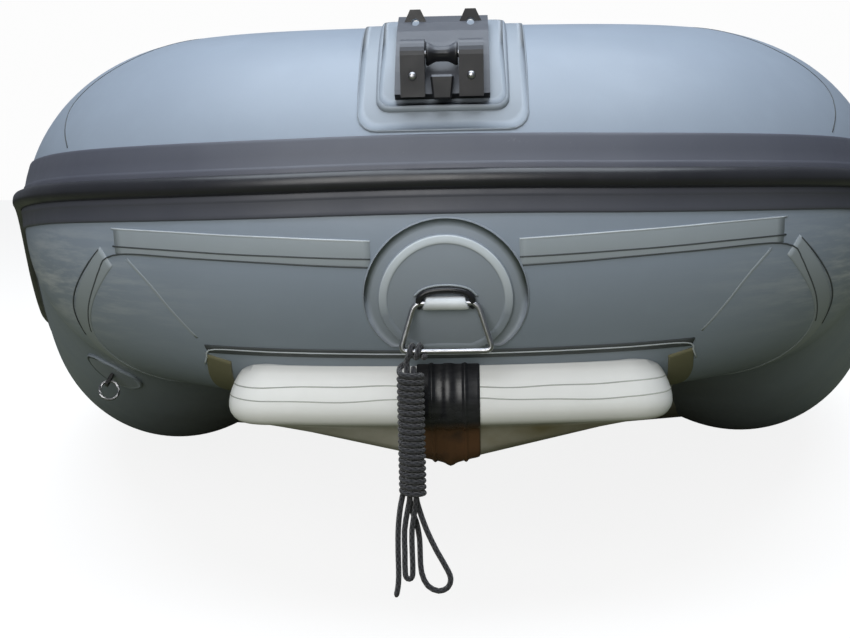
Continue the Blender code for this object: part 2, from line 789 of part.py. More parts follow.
def stretch(distance, angle):
    """How much longer the skin is than the centre line, where the tube bends."""
    gap = LINE.surface(distance + LINE_STEP, angle) - LINE.surface(distance - LINE_STEP, angle)
    return gap.length / (2 * LINE_STEP)


def tube_patch(name, distance, angle, reach, proud, thickness, look, rings=4, sides=28):
    """A patch laid on the tube. Its edge lies at reach(direction) from its middle, along the surface."""
    def place(radius, direction, lift):
        around = math.degrees(radius * math.sin(direction) / TUBE_RADIUS)
        along = radius * math.cos(direction) / stretch(distance, angle + around)
        return skin_point(distance + along, angle + around, lift)

    def build(cage):
        centre = cage.verts.new(place(0, 0, proud))
        circles = []
        for ring in range(1, rings + 1):
            share = ring / rings
            circle = []
            for side in range(sides):
                direction = 2 * math.pi * side / sides
                circle.append(cage.verts.new(place(reach(direction) * share, direction, proud)))
            circles.append(circle)
        for side in range(sides):
            following = (side + 1) % sides
            cage.faces.new((centre, circles[0][side], circles[0][following]))
            for inner, outer in zip(circles, circles[1:]):
                cage.faces.new((inner[side], outer[side], outer[following], inner[following]))

    piece = mesh_from(name, build, look)
    faces_out(piece, distance, angle)
    thicken(piece, thickness)
    return piece


def rounded_reach(half_along, half_around, corner):
    """The distance from a rounded rectangle's middle to its edge, in a given direction."""
    def reach(direction):
        across, up = abs(math.cos(direction)), abs(math.sin(direction))
        far = min(half_along / max(across, 1e-9), half_around / max(up, 1e-9))
        x, y = far * across, far * up
        corner_x, corner_y = half_along - corner, half_around - corner
        if x > corner_x and y > corner_y:
            dot = corner_x * across + corner_y * up
            inside = corner ** 2 - (corner_x ** 2 + corner_y ** 2) + dot ** 2
            far = dot + math.sqrt(max(0, inside))
        return far
    return reach


def arc_length(degrees):
    return math.radians(degrees) * TUBE_RADIUS


def fitting_patches():
    """The fabric patch under the bow fitting, and the thicker pad on it."""
    for name, half, low, high, corner, proud, thickness in (
            ("fitting_patch", FITTING_PATCH_HALF_WIDTH, FITTING_PATCH_LOW, FITTING_PATCH_HIGH,
             FITTING_PATCH_CORNER, PATCH_GAP, FITTING_PATCH_THICKNESS),
            ("fitting_pad", FITTING_PAD_HALF_WIDTH, FITTING_PAD_LOW, FITTING_PAD_HIGH,
             FITTING_PAD_CORNER, PAD_OUT, FITTING_PAD_THICKNESS)):
        reach = rounded_reach(half, arc_length(high - low) / 2, corner)
        tube_patch(name, 0, (low + high) / 2, reach, proud, thickness, "patch_fabric", rings=5)


def floor_drop(y):
    """How far the floor has risen towards the bow at y, read from the centre line."""
    if y <= BOW_Y:
        return BOW_RISE
    return LINE.point(LINE.at_y(y)).z - SIDE_AXIS_Z


def floor_front_arc():
    """The radius of the floor's front edge, which follows the bow, its half width and its depth."""
    radius = FRONT_ARC_RADIUS + FLOOR_FRONT_DEPTH
    half = FLOOR_FRONT_WIDTH / 2 - FLOOR_CORNER
    return radius, half, radius - math.sqrt(radius ** 2 - half ** 2)


def floor_half_width(y):
    """The floor's half width: an arc along its front, rounded corners, then out to the tubes' middles."""
    radius, half, depth = floor_front_arc()
    into = y - (BOW_Y - FLOOR_FRONT_DEPTH)
    if into < depth:
        return math.sqrt(radius ** 2 - (radius - into) ** 2)
    left = max(0.0, FLOOR_CORNER - (into - depth))
    nose = half + math.sqrt(FLOOR_CORNER ** 2 - left ** 2)
    aft = min(1.0, max(0.0, (y - BOW_Y) / BOW_RUN))
    eased = aft * (2 - aft)
    return nose + (HALF_SPACING - FLOOR_FRONT_WIDTH / 2) * eased


def floor_places():
    """Where the floor's sections stand: close together round its front corners, wider apart aft."""
    front, back = BOW_Y - FLOOR_FRONT_DEPTH, TRANSOM_Y - TOUCH
    radius, half, depth = floor_front_arc()
    flat = FLOOR_NOSE_FLAT / 2
    places = [front + radius - math.sqrt(radius ** 2 - width ** 2)
              for width in (flat, (flat + half) / 2, half)]
    places += [front + depth + FLOOR_CORNER * (1 - math.cos(math.radians(turn)))
               for turn in FLOOR_CORNER_TURNS]
    start = places[-1]
    places += [start + (back - start) * (index / FLOOR_STATIONS) ** FLOOR_SPREAD_POWER
               for index in range(1, FLOOR_STATIONS + 1)]
    return places


def floor_section(y, grow, top_extra):
    """One section of the floor, from the top edge round the chine and keel, for a floor grown all round."""
    rise = floor_drop(y)
    wide = floor_half_width(y) + grow
    nose = min(1.0, max(0.0, (y - (BOW_Y - FLOOR_FRONT_DEPTH)) / FLOOR_NOSE_LENGTH))
    top = FLOOR_TOP + rise + top_extra
    chine = FLOOR_CHINE + rise * FLOOR_CHINE_RISE_SHARE - grow
    keel = chine - (FLOOR_CHINE - FLOOR_KEEL + FLOOR_V_BOW * floor_bow_share(y)) * nose
    edge = FLOOR_ROUNDING
    half = [(0, top + FLOOR_CROWN), (wide - edge, top), (wide, top - edge), (wide, chine + edge),
            (wide - edge, chine)]
    return half, keel


def floor_bow_share(y):
    """1 at the bow and 0 where the tubes run level."""
    return floor_drop(y) / BOW_RISE


def floor_solid(name, grow, top_extra, aft_extra, look=None, collection=None):
    """The floor as a loft of sections from the front edge to the transom."""
    places = floor_places()

    def build(cage):
        rings = []
        for y in places:
            half, keel = floor_section(y, grow, top_extra)
            place = y - grow if y == places[0] else y
            place += aft_extra if y == places[-1] else 0
            port = [(x, place, z) for x, z in half]
            starboard = [(-x, place, z) for x, z in reversed(half[1:])]
            loop = [*port, (0, place, keel), *starboard]
            rings.append([cage.verts.new(corner) for corner in loop])
        for first, second in zip(rings, rings[1:]):
            for index in range(len(first)):
                following = (index + 1) % len(first)
                cage.faces.new((first[index], second[index], second[following], first[following]))
        cage.faces.new(rings[0])
        cage.faces.new(reversed(rings[-1]))
        bmesh.ops.triangulate(cage, faces=cage.faces, quad_method="FIXED")

    return mesh_from(name, build, look, collection)


def floor_pieces(cutter):
    """The air floor, the black guard down its front and along its keel, and the apron above it."""
    floor = floor_solid("air_floor", 0, 0, 0, "floor_fabric")
    boolean(floor, cutter)
    guard = floor_solid("keel_guard", SKIN_GAP + KEEL_GUARD_THICKNESS, 0, 0, "black_rubber")
    inside = floor_solid("keel_guard_inside", SKIN_GAP, 2 * FLOOR_TOP, TRANSOM_THICKNESS, None, CUTTERS)
    apron_radius = TUBE_RADIUS + SKIN_GAP + APRON_THICKNESS
    guard_top = BOW_AXIS_Z - math.sqrt(apron_radius ** 2 - FLOOR_FRONT_DEPTH ** 2) - SKIN_GAP
    slab = box("keel_guard_slab", (-KEEL_GUARD_WIDTH / 2, -HULL_LENGTH, -HULL_LENGTH),
               (KEEL_GUARD_WIDTH / 2, HULL_LENGTH, guard_top), None, CUTTERS)
    boolean(guard, inside)
    boolean(guard, slab, "INTERSECT")
    half = math.degrees(APRON_WIDTH / 2 / TUBE_RADIUS)
    tube_sheet("floor_apron", shared_stations(-APRON_HALF_LENGTH, APRON_HALF_LENGTH),
               lambda distance: APRON_ANGLE - half, lambda distance: APRON_ANGLE + half,
               1, SKIN_GAP - facet_depth(APRON_ANGLE - half), APRON_THICKNESS, "patch_fabric")


def transom_pieces(cutter):
    """The transom board between the tubes, its holders, motor plates and drain."""
    front, back = TRANSOM_Y, TRANSOM_Y + TRANSOM_THICKNESS
    half = TRANSOM_WIDTH / 2
    board = box("transom", (-half, front, TRANSOM_BOTTOM), (half, back, TRANSOM_TOP), "plywood")
    bevel(board, TRANSOM_EDGE, 1)
    boolean(board, cutter)
    hole = cylinder("drain_hole", (DRAIN_SIDE, front - TRANSOM_THICKNESS, DRAIN_HEIGHT),
                    (DRAIN_SIDE, back + TRANSOM_THICKNESS, DRAIN_HEIGHT), DRAIN_HOLE_RADIUS + TOUCH, None,
                    CUTTERS)
    boolean(board, hole)
    for name, side in (("port", 1), ("starboard", -1)):
        outer = side * HALF_SPACING
        inner = side * (HALF_SPACING - TUBE_RADIUS - HOLDER_WIDTH / 2)
        low_x, high_x = sorted((outer, inner))
        holder = box(f"transom_holder_{name}", (low_x, front - HOLDER_LENGTH, HOLDER_LIFT),
                     (high_x, front - TOUCH, HOLDER_LIFT + HOLDER_HEIGHT), "black_rubber")
        boolean(holder, cutter)
    top = TRANSOM_TOP - MOTOR_PLATE_DROP
    for name, start, end in (("outer_motor_plate", back + TOUCH, back + TOUCH + MOTOR_PLATE_THICKNESS),
                             ("inner_motor_plate", front - TOUCH - MOTOR_PLATE_THICKNESS, front - TOUCH)):
        plate = box(name, (-MOTOR_PLATE_WIDTH / 2, start, top - MOTOR_PLATE_HEIGHT),
                    (MOTOR_PLATE_WIDTH / 2, end, top), "black_plastic")
        bevel(plate, MOTOR_PLATE_EDGE, 1)
    drain(back)


def drain(back):
    """A flanged drain tube through the transom, and its plug."""
    flange = back + TOUCH + DRAIN_FLANGE_THICKNESS
    length = TRANSOM_THICKNESS + TOUCH + DRAIN_FLANGE_THICKNESS
    profile = [(DRAIN_FLANGE_RADIUS, 0), (DRAIN_FLANGE_RADIUS, -DRAIN_FLANGE_THICKNESS),
               (DRAIN_HOLE_RADIUS, -DRAIN_FLANGE_THICKNESS), (DRAIN_HOLE_RADIUS, -length),
               (DRAIN_BORE_RADIUS, -length), (DRAIN_BORE_RADIUS, 0)]
    turned("drain_body", profile, (DRAIN_SIDE, flange, DRAIN_HEIGHT), (0, 1, 0), "black_plastic")
    fit = DRAIN_BORE_RADIUS - TOUCH
    depth = length * DRAIN_PLUG_DEPTH_SHARE
    plug = [(0, TOUCH + DRAIN_PLUG_HEAD_LENGTH), (DRAIN_PLUG_HEAD, TOUCH + DRAIN_PLUG_HEAD_LENGTH),
            (DRAIN_PLUG_HEAD, TOUCH), (fit, TOUCH), (fit, -depth), (0, -depth)]
    turned("drain_plug", plug, (DRAIN_SIDE, flange, DRAIN_HEIGHT), (0, 1, 0), "black_rubber")


def benches(rail_cutter):
    """Two boards that slide along rails on the tubes' inner shoulders."""
    rail_end = LINE.at_y(STERN_Y - RAIL_FROM_STERN)
    half = math.degrees(RAIL_WIDTH / 2 / TUBE_RADIUS)
    for name, side in (("port", 1), ("starboard", -1)):
        ends = sorted((side * rail_end, side * (rail_end - RAIL_LENGTH)))
        tube_sheet(f"seat_rail_{name}", shared_stations(*ends), lambda distance: RAIL_ANGLE - half,
                   lambda distance: RAIL_ANGLE + half, 3, SKIN_GAP, RAIL_THICKNESS, "black_rubber")
    for name, from_stern in (("front_bench", FRONT_BENCH_FROM_STERN), ("rear_bench", REAR_BENCH_FROM_STERN)):
        middle = STERN_Y - from_stern
        board = box(name, (-HALF_SPACING, middle - BENCH_WIDTH / 2, BENCH_HEIGHT),
                    (HALF_SPACING, middle + BENCH_WIDTH / 2, BENCH_HEIGHT + BENCH_THICKNESS), "plywood")
        bevel(board, BENCH_EDGE, 1)
        boolean(board, rail_cutter)
        boolean(board, slab_between_tubes(name, middle), "INTERSECT")


def slab_between_tubes(name, middle):
    """Keeps the part of a bench between the tubes, without the slivers past their middles."""
    half = HALF_SPACING - TUBE_RADIUS / 2
    return box(f"{name}_keep", (-half, middle - BENCH_WIDTH, 0), (half, middle + BENCH_WIDTH, HULL_BEAM),
               None, CUTTERS)


def oarlocks(cutter):
    """A base on each tube, with a bore for the pin of the turning oarlock."""
    distance = LINE.at_y(STERN_Y - OARLOCK_FROM_STERN)
    for name, side in (("port", 1), ("starboard", -1)):
        foot = LINE.surface(side * distance, OARLOCK_ANGLE)
        seat = foot + UP * OARLOCK_BASE_HEIGHT
        base = cylinder(f"oarlock_base_{name}", foot - UP * OARLOCK_BASE_RADIUS, seat, OARLOCK_BASE_RADIUS,
                        "black_plastic", sides=28)
        boolean(base, cutter)
        bore = cylinder(f"oarlock_bore_{name}", seat - UP * (OARLOCK_PIN_LENGTH + TOUCH),
                        seat + UP * OARLOCK_BASE_HEIGHT, OARLOCK_PIN_RADIUS + TOUCH, None, CUTTERS, sides=20)
        boolean(base, bore)
        profile = [(0, OARLOCK_SHOULDER_HEIGHT), (OARLOCK_SHOULDER_RADIUS, OARLOCK_SHOULDER_EDGE),
                   (OARLOCK_SHOULDER_RADIUS, TOUCH), (OARLOCK_PIN_RADIUS, TOUCH),
                   (OARLOCK_PIN_RADIUS, -OARLOCK_PIN_LENGTH), (0, -OARLOCK_PIN_LENGTH)]
        pin = turned(f"oarlock_{name}", profile, seat, UP, "black_plastic", sides=20)
        ring_tube = tube(f"oarlock_ring_{name}", oarlock_ring(seat), OARLOCK_WIRE_RADIUS, None, 1,
                         closed=True)
        boolean(pin, to_mesh_object(ring_tube, CUTTERS), "UNION")


def oarlock_ring(seat):
    """Points of the ring that an oar passes through."""
    middle = seat + UP * (OARLOCK_RING_LIFT + OARLOCK_RING_RADIUS)
    turns = [2 * math.pi * step / OARLOCK_RING_POINTS for step in range(OARLOCK_RING_POINTS)]
    return [middle + OARLOCK_RING_RADIUS * Vector((math.sin(turn), 0, -math.cos(turn))) for turn in turns]


def valves(cutter):
    """A valve body on each chamber and on the floor, each with a cap that turns."""
    side_at = LINE.at_y(STERN_Y - SIDE_VALVE_FROM_STERN)
    places = {"bow": (BOW_VALVE_AT, BOW_VALVE_ANGLE), "port": (side_at, SIDE_VALVE_ANGLE),
              "starboard": (-side_at, SIDE_VALVE_ANGLE)}
    for name, (distance, angle) in places.items():
        valve(name, LINE.surface(distance, angle), LINE.normal(distance, angle), cutter)
    y = STERN_Y - FLOOR_VALVE_FROM_STERN
    top = floor_top_at(FLOOR_VALVE_SIDE, y)
    valve("floor", Vector((FLOOR_VALVE_SIDE, y, top + SKIN_GAP)), UP, None)


def floor_top_at(x, y):
    """The floor's crowned top surface."""
    share = abs(x) / (floor_half_width(y) - FLOOR_ROUNDING)
    return FLOOR_TOP + floor_drop(y) + FLOOR_CROWN * (1 - share)


def valve(name, place, axis, cutter):
    depth = VALVE_RADIUS / 2 if cutter else 0
    wall = VALVE_CAP_RADIUS - VALVE_WALL
    well = VALVE_HEIGHT - VALVE_WELL
    profile = [(0, well), (wall, well), (wall, VALVE_HEIGHT), (VALVE_CAP_RADIUS, VALVE_HEIGHT),
               (VALVE_RADIUS, VALVE_HEIGHT / 2), (VALVE_RADIUS, -depth), (0, -depth)]
    body = turned(f"valve_body_{name}", profile, place, axis, "black_plastic", sides=16)
    if cutter:
        boolean(body, cutter)
    stem = wall - TOUCH
    cap = [(0, VALVE_CAP_HEIGHT), (VALVE_CAP_RADIUS - VALVE_CAP_ROUNDING, VALVE_CAP_HEIGHT),
           (VALVE_CAP_RADIUS, VALVE_CAP_HEIGHT - VALVE_CAP_ROUNDING), (VALVE_CAP_RADIUS, TOUCH),
           (stem, TOUCH), (stem, TOUCH - VALVE_WELL / 2), (0, TOUCH - VALVE_WELL / 2)]
    turned(f"valve_cap_{name}", cap, place + axis * VALVE_HEIGHT, axis, "black_plastic", sides=16)


def grab_lines(cutter):
    """Eyes on each side tube and a rope through them."""
    for name, side in (("port", 1), ("starboard", -1)):
        for index, from_stern in enumerate(GRAB_EYES_FROM_STERN):
            grab_eye(f"grab_eye_{name}_{index + 1}", side * LINE.at_y(STERN_Y - from_stern), cutter)
        first = LINE.at_y(STERN_Y - GRAB_EYES_FROM_STERN[0]) - GRAB_EYE_LENGTH / 2 - GRAB_END
        last = LINE.at_y(STERN_Y - GRAB_EYES_FROM_STERN[-1]) + GRAB_EYE_LENGTH / 2 + GRAB_END
        points = [LINE.surface(side * distance, GRAB_ANGLE, GRAB_HOLE_LIFT)
                  for distance in stations(first, last, GRAB_LINE_STEPS)]
        tube(f"grab_line_{name}", points, GRAB_ROPE_RADIUS, "cord", 1)


def grab_eye(name, distance, cutter):
    """A moulded eye: a rounded block, cut to the tube, with a hole for the rope."""
    place = LINE.surface(distance, GRAB_ANGLE)
    _, along, _, _ = LINE.frame(distance)
    normal = LINE.normal(distance, GRAB_ANGLE)
    across = normal.cross(along)
    axes = Matrix((along, across, normal)).transposed().to_4x4()

    def build(cage):
        bmesh.ops.create_cube(cage, size=1)
        bmesh.ops.scale(cage, vec=(GRAB_EYE_LENGTH, GRAB_EYE_WIDTH, GRAB_EYE_HEIGHT + GRAB_EYE_LENGTH),
                        verts=cage.verts)
        middle = Matrix.Translation((0, 0, (GRAB_EYE_HEIGHT - GRAB_EYE_LENGTH) / 2))
        bmesh.ops.transform(cage, matrix=Matrix.Translation(place) @ axes @ middle, verts=cage.verts)

    eye = mesh_from(name, build, "black_plastic")
    bevel(eye, GRAB_EYE_ROUNDING, 1)
    boolean(eye, cutter)
    centre = LINE.surface(distance, GRAB_ANGLE, GRAB_HOLE_LIFT)
    reach = along * GRAB_EYE_LENGTH
    hole = cylinder(f"{name}_hole", centre - reach, centre + reach, GRAB_HOLE_RADIUS, None, CUTTERS, sides=10)
    boolean(eye, hole)


def cheek_outline():
    """A cheek from the side, as (distance ahead of the tube's middle, height above it)."""
    crown = CHEEK_CROWN
    middle = CHEEK_FRONT - crown
    arc = [(middle + crown * math.cos(turn), CHEEK_TOP - crown + crown * math.sin(turn))
           for turn in (math.radians(degrees) for degrees in range(0, 91, 15))]
    return [(CHEEK_BACK, CHEEK_LOW), (CHEEK_FRONT, CHEEK_LOW), *arc, (CHEEK_BACK, CHEEK_TOP)]


def bow_side_slab(name, outline, x, thickness, look=None, collection=None):
    """A slab across the boat from a side outline of (ahead, up) points about the bow tube's middle."""
    turn = Matrix(((0, 0, 1), (-1, 0, 0), (0, 1, 0)))
    return outline_slab(name, outline, thickness, Vector((x, BOW_Y, BOW_AXIS_Z)), turn, look, collection)


def roller_frame(pad_cutter):
    """The moulded frame: foot, two cheeks, and a rear crosspiece with two holed lugs."""
    half = CHEEK_SPACING / 2 + CHEEK_THICKNESS / 2 + FRAME_FOOT_MARGIN
    shell_radius = TUBE_RADIUS + FRAME_OUT + SKIN_GAP + FRAME_FOOT_THICKNESS
    frame = cylinder("roller_frame", (-half, BOW_Y, BOW_AXIS_Z), (half, BOW_Y, BOW_AXIS_Z), shell_radius,
                     "black_plastic", sides=60)
    keep = bow_side_slab("frame_foot_keep", foot_keep_outline(), 0, 4 * half, None, CUTTERS)
    boolean(frame, keep, "INTERSECT")
    for name, side in (("port", 1), ("starboard", -1)):
        cheek = bow_side_slab(f"cheek_{name}", cheek_outline(), side * CHEEK_SPACING / 2, CHEEK_THICKNESS,
                              None, CUTTERS)
        boolean(frame, cheek, "UNION")
    back = REAR_PLATE_FRONT - REAR_PLATE_THICKNESS
    outline = [(back, 0), (REAR_PLATE_FRONT, 0), (REAR_PLATE_FRONT, REAR_PLATE_TOP), (back, REAR_PLATE_TOP)]
    rear = bow_side_slab("rear_crosspiece", outline, 0, 2 * REAR_PLATE_HALF_WIDTH, None, CUTTERS)
    boolean(frame, rear, "UNION")
    for name, side in (("port", 1), ("starboard", -1)):
        boolean(frame, lug(name, side), "UNION")
        x = side * CHEEK_SPACING / 2
        y = BOW_Y - REAR_PLATE_FRONT
        z = BOW_AXIS_Z + REAR_PLATE_TOP + LUG_HOLE_LIFT
        hole = cylinder(f"lug_hole_{name}", (x, y - REAR_PLATE_THICKNESS, z),
                        (x, y + 2 * REAR_PLATE_THICKNESS, z), LUG_HOLE_RADIUS, None, CUTTERS, sides=12)
        boolean(frame, hole)
    reach = Vector((CHEEK_SPACING / 2 - CHEEK_THICKNESS / 2 + AXLE_IN_CHEEK + TOUCH, 0, 0))
    middle = Vector((0, BOW_Y - ROLLER_FRONT, BOW_AXIS_Z + ROLLER_HEIGHT))
    axle_hole = cylinder("axle_hole", middle - reach, middle + reach, AXLE_RADIUS + TOUCH, None, CUTTERS,
                         sides=20)
    boolean(frame, axle_hole)
    boolean(frame, pad_cutter)
    return frame


def foot_keep_outline():
    """The wedge of the bow tube's section that the frame's foot covers, as (ahead, up) points."""
    far = TUBE_RADIUS * 2
    low, high = math.radians(FRAME_FOOT_LOW), math.radians(FRAME_FOOT_HIGH)
    return [(0, 0), (far * math.cos(low), far * math.sin(low)), (far, far),
            (far * math.cos(high), far * math.sin(high))]


def lug(name, side):
    """A triangular lug on the rear crosspiece, seen from ahead."""
    x = side * CHEEK_SPACING / 2
    outline = [(-LUG_HALF_BASE, -LUG_FOOT), (LUG_HALF_BASE, -LUG_FOOT), (LUG_HALF_TOP, LUG_HEIGHT),
               (-LUG_HALF_TOP, LUG_HEIGHT)]
    turn = Matrix(((1, 0, 0), (0, 0, -1), (0, 1, 0)))
    inset = TOUCH
    thickness = REAR_PLATE_THICKNESS - 2 * inset
    place = Vector((x, BOW_Y - REAR_PLATE_FRONT + REAR_PLATE_THICKNESS / 2, BOW_AXIS_Z + REAR_PLATE_TOP))
    return outline_slab(f"lug_{name}", outline, thickness, place, turn, None, CUTTERS)


def roller_parts():
    """The waisted roller, its axle, the two cheek screws and the guide tongue."""
    place = Vector((0, BOW_Y - ROLLER_FRONT, BOW_AXIS_Z + ROLLER_HEIGHT))
    half = CHEEK_SPACING / 2 - CHEEK_THICKNESS / 2 - ROLLER_END_GAP
    waist = half / 2
    profile = [(ROLLER_RADIUS, half), (ROLLER_WAIST, waist), (ROLLER_WAIST, -waist), (ROLLER_RADIUS, -half),
               (ROLLER_BORE_RADIUS, -half), (ROLLER_BORE_RADIUS, half)]
    turned("bow_roller", profile, place, (1, 0, 0), "black_plastic")
    reach = Vector((CHEEK_SPACING / 2 - CHEEK_THICKNESS / 2 + AXLE_IN_CHEEK, 0, 0))
    cylinder("roller_axle", place - reach, place + reach, AXLE_RADIUS, "stainless", sides=16)
    for name, side in (("port", 1), ("starboard", -1)):
        head = Vector((side * CHEEK_SPACING / 2, BOW_Y - CHEEK_FRONT - TOUCH, BOW_AXIS_Z + SCREW_HEIGHT))
        dome = [(SCREW_HEAD_RADIUS * out, SCREW_HEAD_HEIGHT * up) for out, up in SCREW_DOME_SHARES]
        dome += [(SCREW_HEAD_RADIUS, 0), (0, 0)]
        turned(f"cheek_screw_{name}", dome, head, (0, -1, 0), "stainless", sides=16)


def guide_tongue(frame_cutter):
    """The tongue between the cheeks, below the roller, seated on the frame's foot."""
    outline = [(-TONGUE_BOTTOM_WIDTH / 2, TONGUE_BOTTOM), (TONGUE_BOTTOM_WIDTH / 2, TONGUE_BOTTOM),
               (TONGUE_TOP_WIDTH / 2, TONGUE_TOP), (-TONGUE_TOP_WIDTH / 2, TONGUE_TOP)]
    turn = Matrix(((1, 0, 0), (0, 0, -1), (0, 1, 0)))
    depth = TONGUE_THICKNESS + TONGUE_INSET
    place = Vector((0, BOW_Y - TONGUE_FRONT + depth / 2, BOW_AXIS_Z))
    tongue = outline_slab("guide_tongue", outline, depth, place, turn, "black_plastic")
    bevel(tongue, TONGUE_ROUNDING, 1)
    boolean(tongue, frame_cutter)


def bow_fitting():
    """Everything on the fitting's pad."""
    outer = bow_cylinder("pad_cutter", FRAME_OUT + SKIN_GAP)
    roller_frame(outer)
    roller_parts()
    guide_tongue(bow_cylinder("foot_cutter", FRAME_OUT + SKIN_GAP + FRAME_FOOT_THICKNESS + TOUCH))


def bow_cylinder(name, proud):
    """A round bar along the bow tube's middle, to cut what stands on the fitting's pad."""
    half = 2 * CHEEK_SPACING
    return cylinder(name, (-half, BOW_Y, BOW_AXIS_Z), (half, BOW_Y, BOW_AXIS_Z), TUBE_RADIUS + proud, None,
                    CUTTERS, sides=144)


def ring_reach(radius):
    """A round patch whose lower edge is trimmed along the apron."""
    limit = arc_length(RING_PATCH_ANGLE - RING_PATCH_TRIM_ANGLE)

    def reach(direction):
        down = -math.sin(direction)
        return min(radius, limit / down) if down > 0 else radius
    return reach


def ring_seat():
    """The two round patches under the towing ring."""
    tube_patch("ring_patch", 0, RING_PATCH_ANGLE, ring_reach(RING_PATCH_RADIUS), PATCH_GAP,
               RING_PATCH_THICKNESS, "patch_fabric", rings=3)
    tube_patch("ring_disc", 0, RING_PATCH_ANGLE, ring_reach(RING_DISC_RADIUS - SKIN_GAP), DISC_OUT,
               RING_DISC_THICKNESS, "patch_fabric", rings=3)


def hinge_place():
    """The middle of the ring's top bar, held in the strap's tunnel."""
    proud = STRAP_OUT + SKIN_GAP + RING_WIRE_RADIUS + TOUCH
    return LINE.surface(0, RING_PATCH_ANGLE, proud)


def ring_strap():
    """Webbing sewn to the disc at both feet and arched over the ring's top bar."""
    clear = RING_WIRE_RADIUS + TOUCH + SKIN_GAP
    inner = clear
    outer = clear + STRAP_THICKNESS
    base = TUBE_RADIUS + STRAP_OUT + SKIN_GAP
    middle_radius = base + RING_WIRE_RADIUS + TOUCH
    centre_angle = math.radians(RING_PATCH_ANGLE)

    def spot(around, proud):
        angle = centre_angle + around / TUBE_RADIUS
        return ((base + proud) * math.cos(angle), (base + proud) * math.sin(angle))

    def arch(radius, degrees):
        rise = middle_radius - base
        return [spot(radius * math.cos(math.radians(turn)), rise + radius * math.sin(math.radians(turn)))
                for turn in degrees]

    foot_end = outer + STRAP_FOOT
    steps = list(range(0, 181, 20))
    low = -math.degrees(math.asin(min(1, (RING_WIRE_RADIUS + TOUCH) / outer)))
    outline = [spot(foot_end, 0), spot(foot_end, STRAP_THICKNESS), spot(outer, STRAP_THICKNESS)]
    outline += arch(outer, steps)
    outline += [spot(-outer, STRAP_THICKNESS), spot(-foot_end, STRAP_THICKNESS), spot(-foot_end, 0),
                spot(-inner, 0)]
    outline += arch(inner, reversed(steps))
    outline += [spot(inner, 0)]
    bow_side_slab("ring_strap", outline, 0, STRAP_WIDTH, "black_rubber")


def bow_ring():
    """The bent wire ring, hanging from its top bar."""
    pivot = hinge_place()
    half_top, half_bottom = RING_TOP_WIDTH / 2, RING_BOTTOM_WIDTH / 2
    corners = [(-half_top, 0), (half_top, 0), (half_bottom, -RING_HEIGHT), (-half_bottom, -RING_HEIGHT)]
    outline = rounded_loop([Vector((x, 0, z)) for x, z in corners], RING_CORNER, RING_CORNER_STEPS)
    tube("bow_ring", [pivot + spot for spot in outline], RING_WIRE_RADIUS, "stainless", 2, closed=True)


def rounded_loop(corners, radius, steps):
    """A closed loop through corners, each one rounded by a quadratic arc."""
    result = []
    count = len(corners)
    for index, corner in enumerate(corners):
        before = (corners[index - 1] - corner).normalized() * radius
        after = (corners[(index + 1) % count] - corner).normalized() * radius
        for step in range(steps + 1):
            share = step / steps
            result.append(corner + before * (1 - share) ** 2 + after * share ** 2)
    return result


def tow_eye(cutter):
    """A patch, a holed lug and a small ring under the starboard bow corner."""
    distance = -TOW_FROM_BOW
    tube_patch("tow_patch", distance, TOW_ANGLE, lambda direction: TOW_PATCH_RADIUS, SKIN_GAP,
               TOW_PATCH_THICKNESS, "patch_fabric", rings=2, sides=20)
    normal = LINE.normal(distance, TOW_ANGLE)
    _, along, _, _ = LINE.frame(distance)
    seat = skin_point(distance, TOW_ANGLE, SKIN_GAP + TOW_PATCH_THICKNESS + SKIN_GAP)
    across = normal.cross(along)
    axes = Matrix((along, across, normal)).transposed().to_4x4()

    def build(cage):
        bmesh.ops.create_cube(cage, size=1)
        bmesh.ops.scale(cage, vec=(TOW_LUG_WIDTH, TOW_LUG_THICKNESS, TOW_LUG_HEIGHT), verts=cage.verts)
        bmesh.ops.transform(cage, matrix=Matrix.Translation(seat) @ axes
                            @ Matrix.Translation((0, 0, TOW_LUG_HEIGHT / 2)), verts=cage.verts)

    lug_piece = mesh_from("tow_lug", build, "black_rubber")
    centre = seat + normal * (TOW_LUG_HEIGHT - TOW_HOLE_RADIUS - TOW_RING_WIRE)
    hole = cylinder("tow_hole", centre - across * TOW_LUG_WIDTH, centre + across * TOW_LUG_WIDTH,
                    TOW_HOLE_RADIUS, None, CUTTERS, sides=12)
    boolean(lug_piece, hole)
    down = (Vector((0, 0, -1)) - along * along.dot(Vector((0, 0, -1)))).normalized()
    sideways = along.cross(down)
    bar = centre + normal * (TOW_HOLE_RADIUS - TOW_RING_WIRE) * TOW_REST_SHARE
    middle = bar + down * TOW_RING_RADIUS
    points = [middle + TOW_RING_RADIUS * (math.cos(turn) * -down + math.sin(turn) * sideways)
              for turn in (2 * math.pi * step / 16 for step in range(16))]
    tube("tow_ring", points, TOW_RING_WIRE, "stainless", 1, closed=True)
    return sideways, bar


def hank_top():
    """The top of the painter's winding, below the ring's lower bar."""
    pivot = hinge_place()
    return Vector((HANK_ACROSS, pivot.y, pivot.z - RING_HEIGHT - HANK_DROP))


def winding_points():
    """The winding, from its top down, as a formula."""
    start = math.radians(WINDING_START_ANGLE)
    result = []
    for step in range(WINDING_TURNS * POINTS_PER_TURN - WINDING_SHORT_STEPS + 1):
        turn = start + 2 * math.pi * step / POINTS_PER_TURN
        result.append(Vector((WINDING_RADIUS * math.cos(turn), WINDING_RADIUS * math.sin(turn),
                              -WINDING_PITCH * step / POINTS_PER_TURN)))
    return result


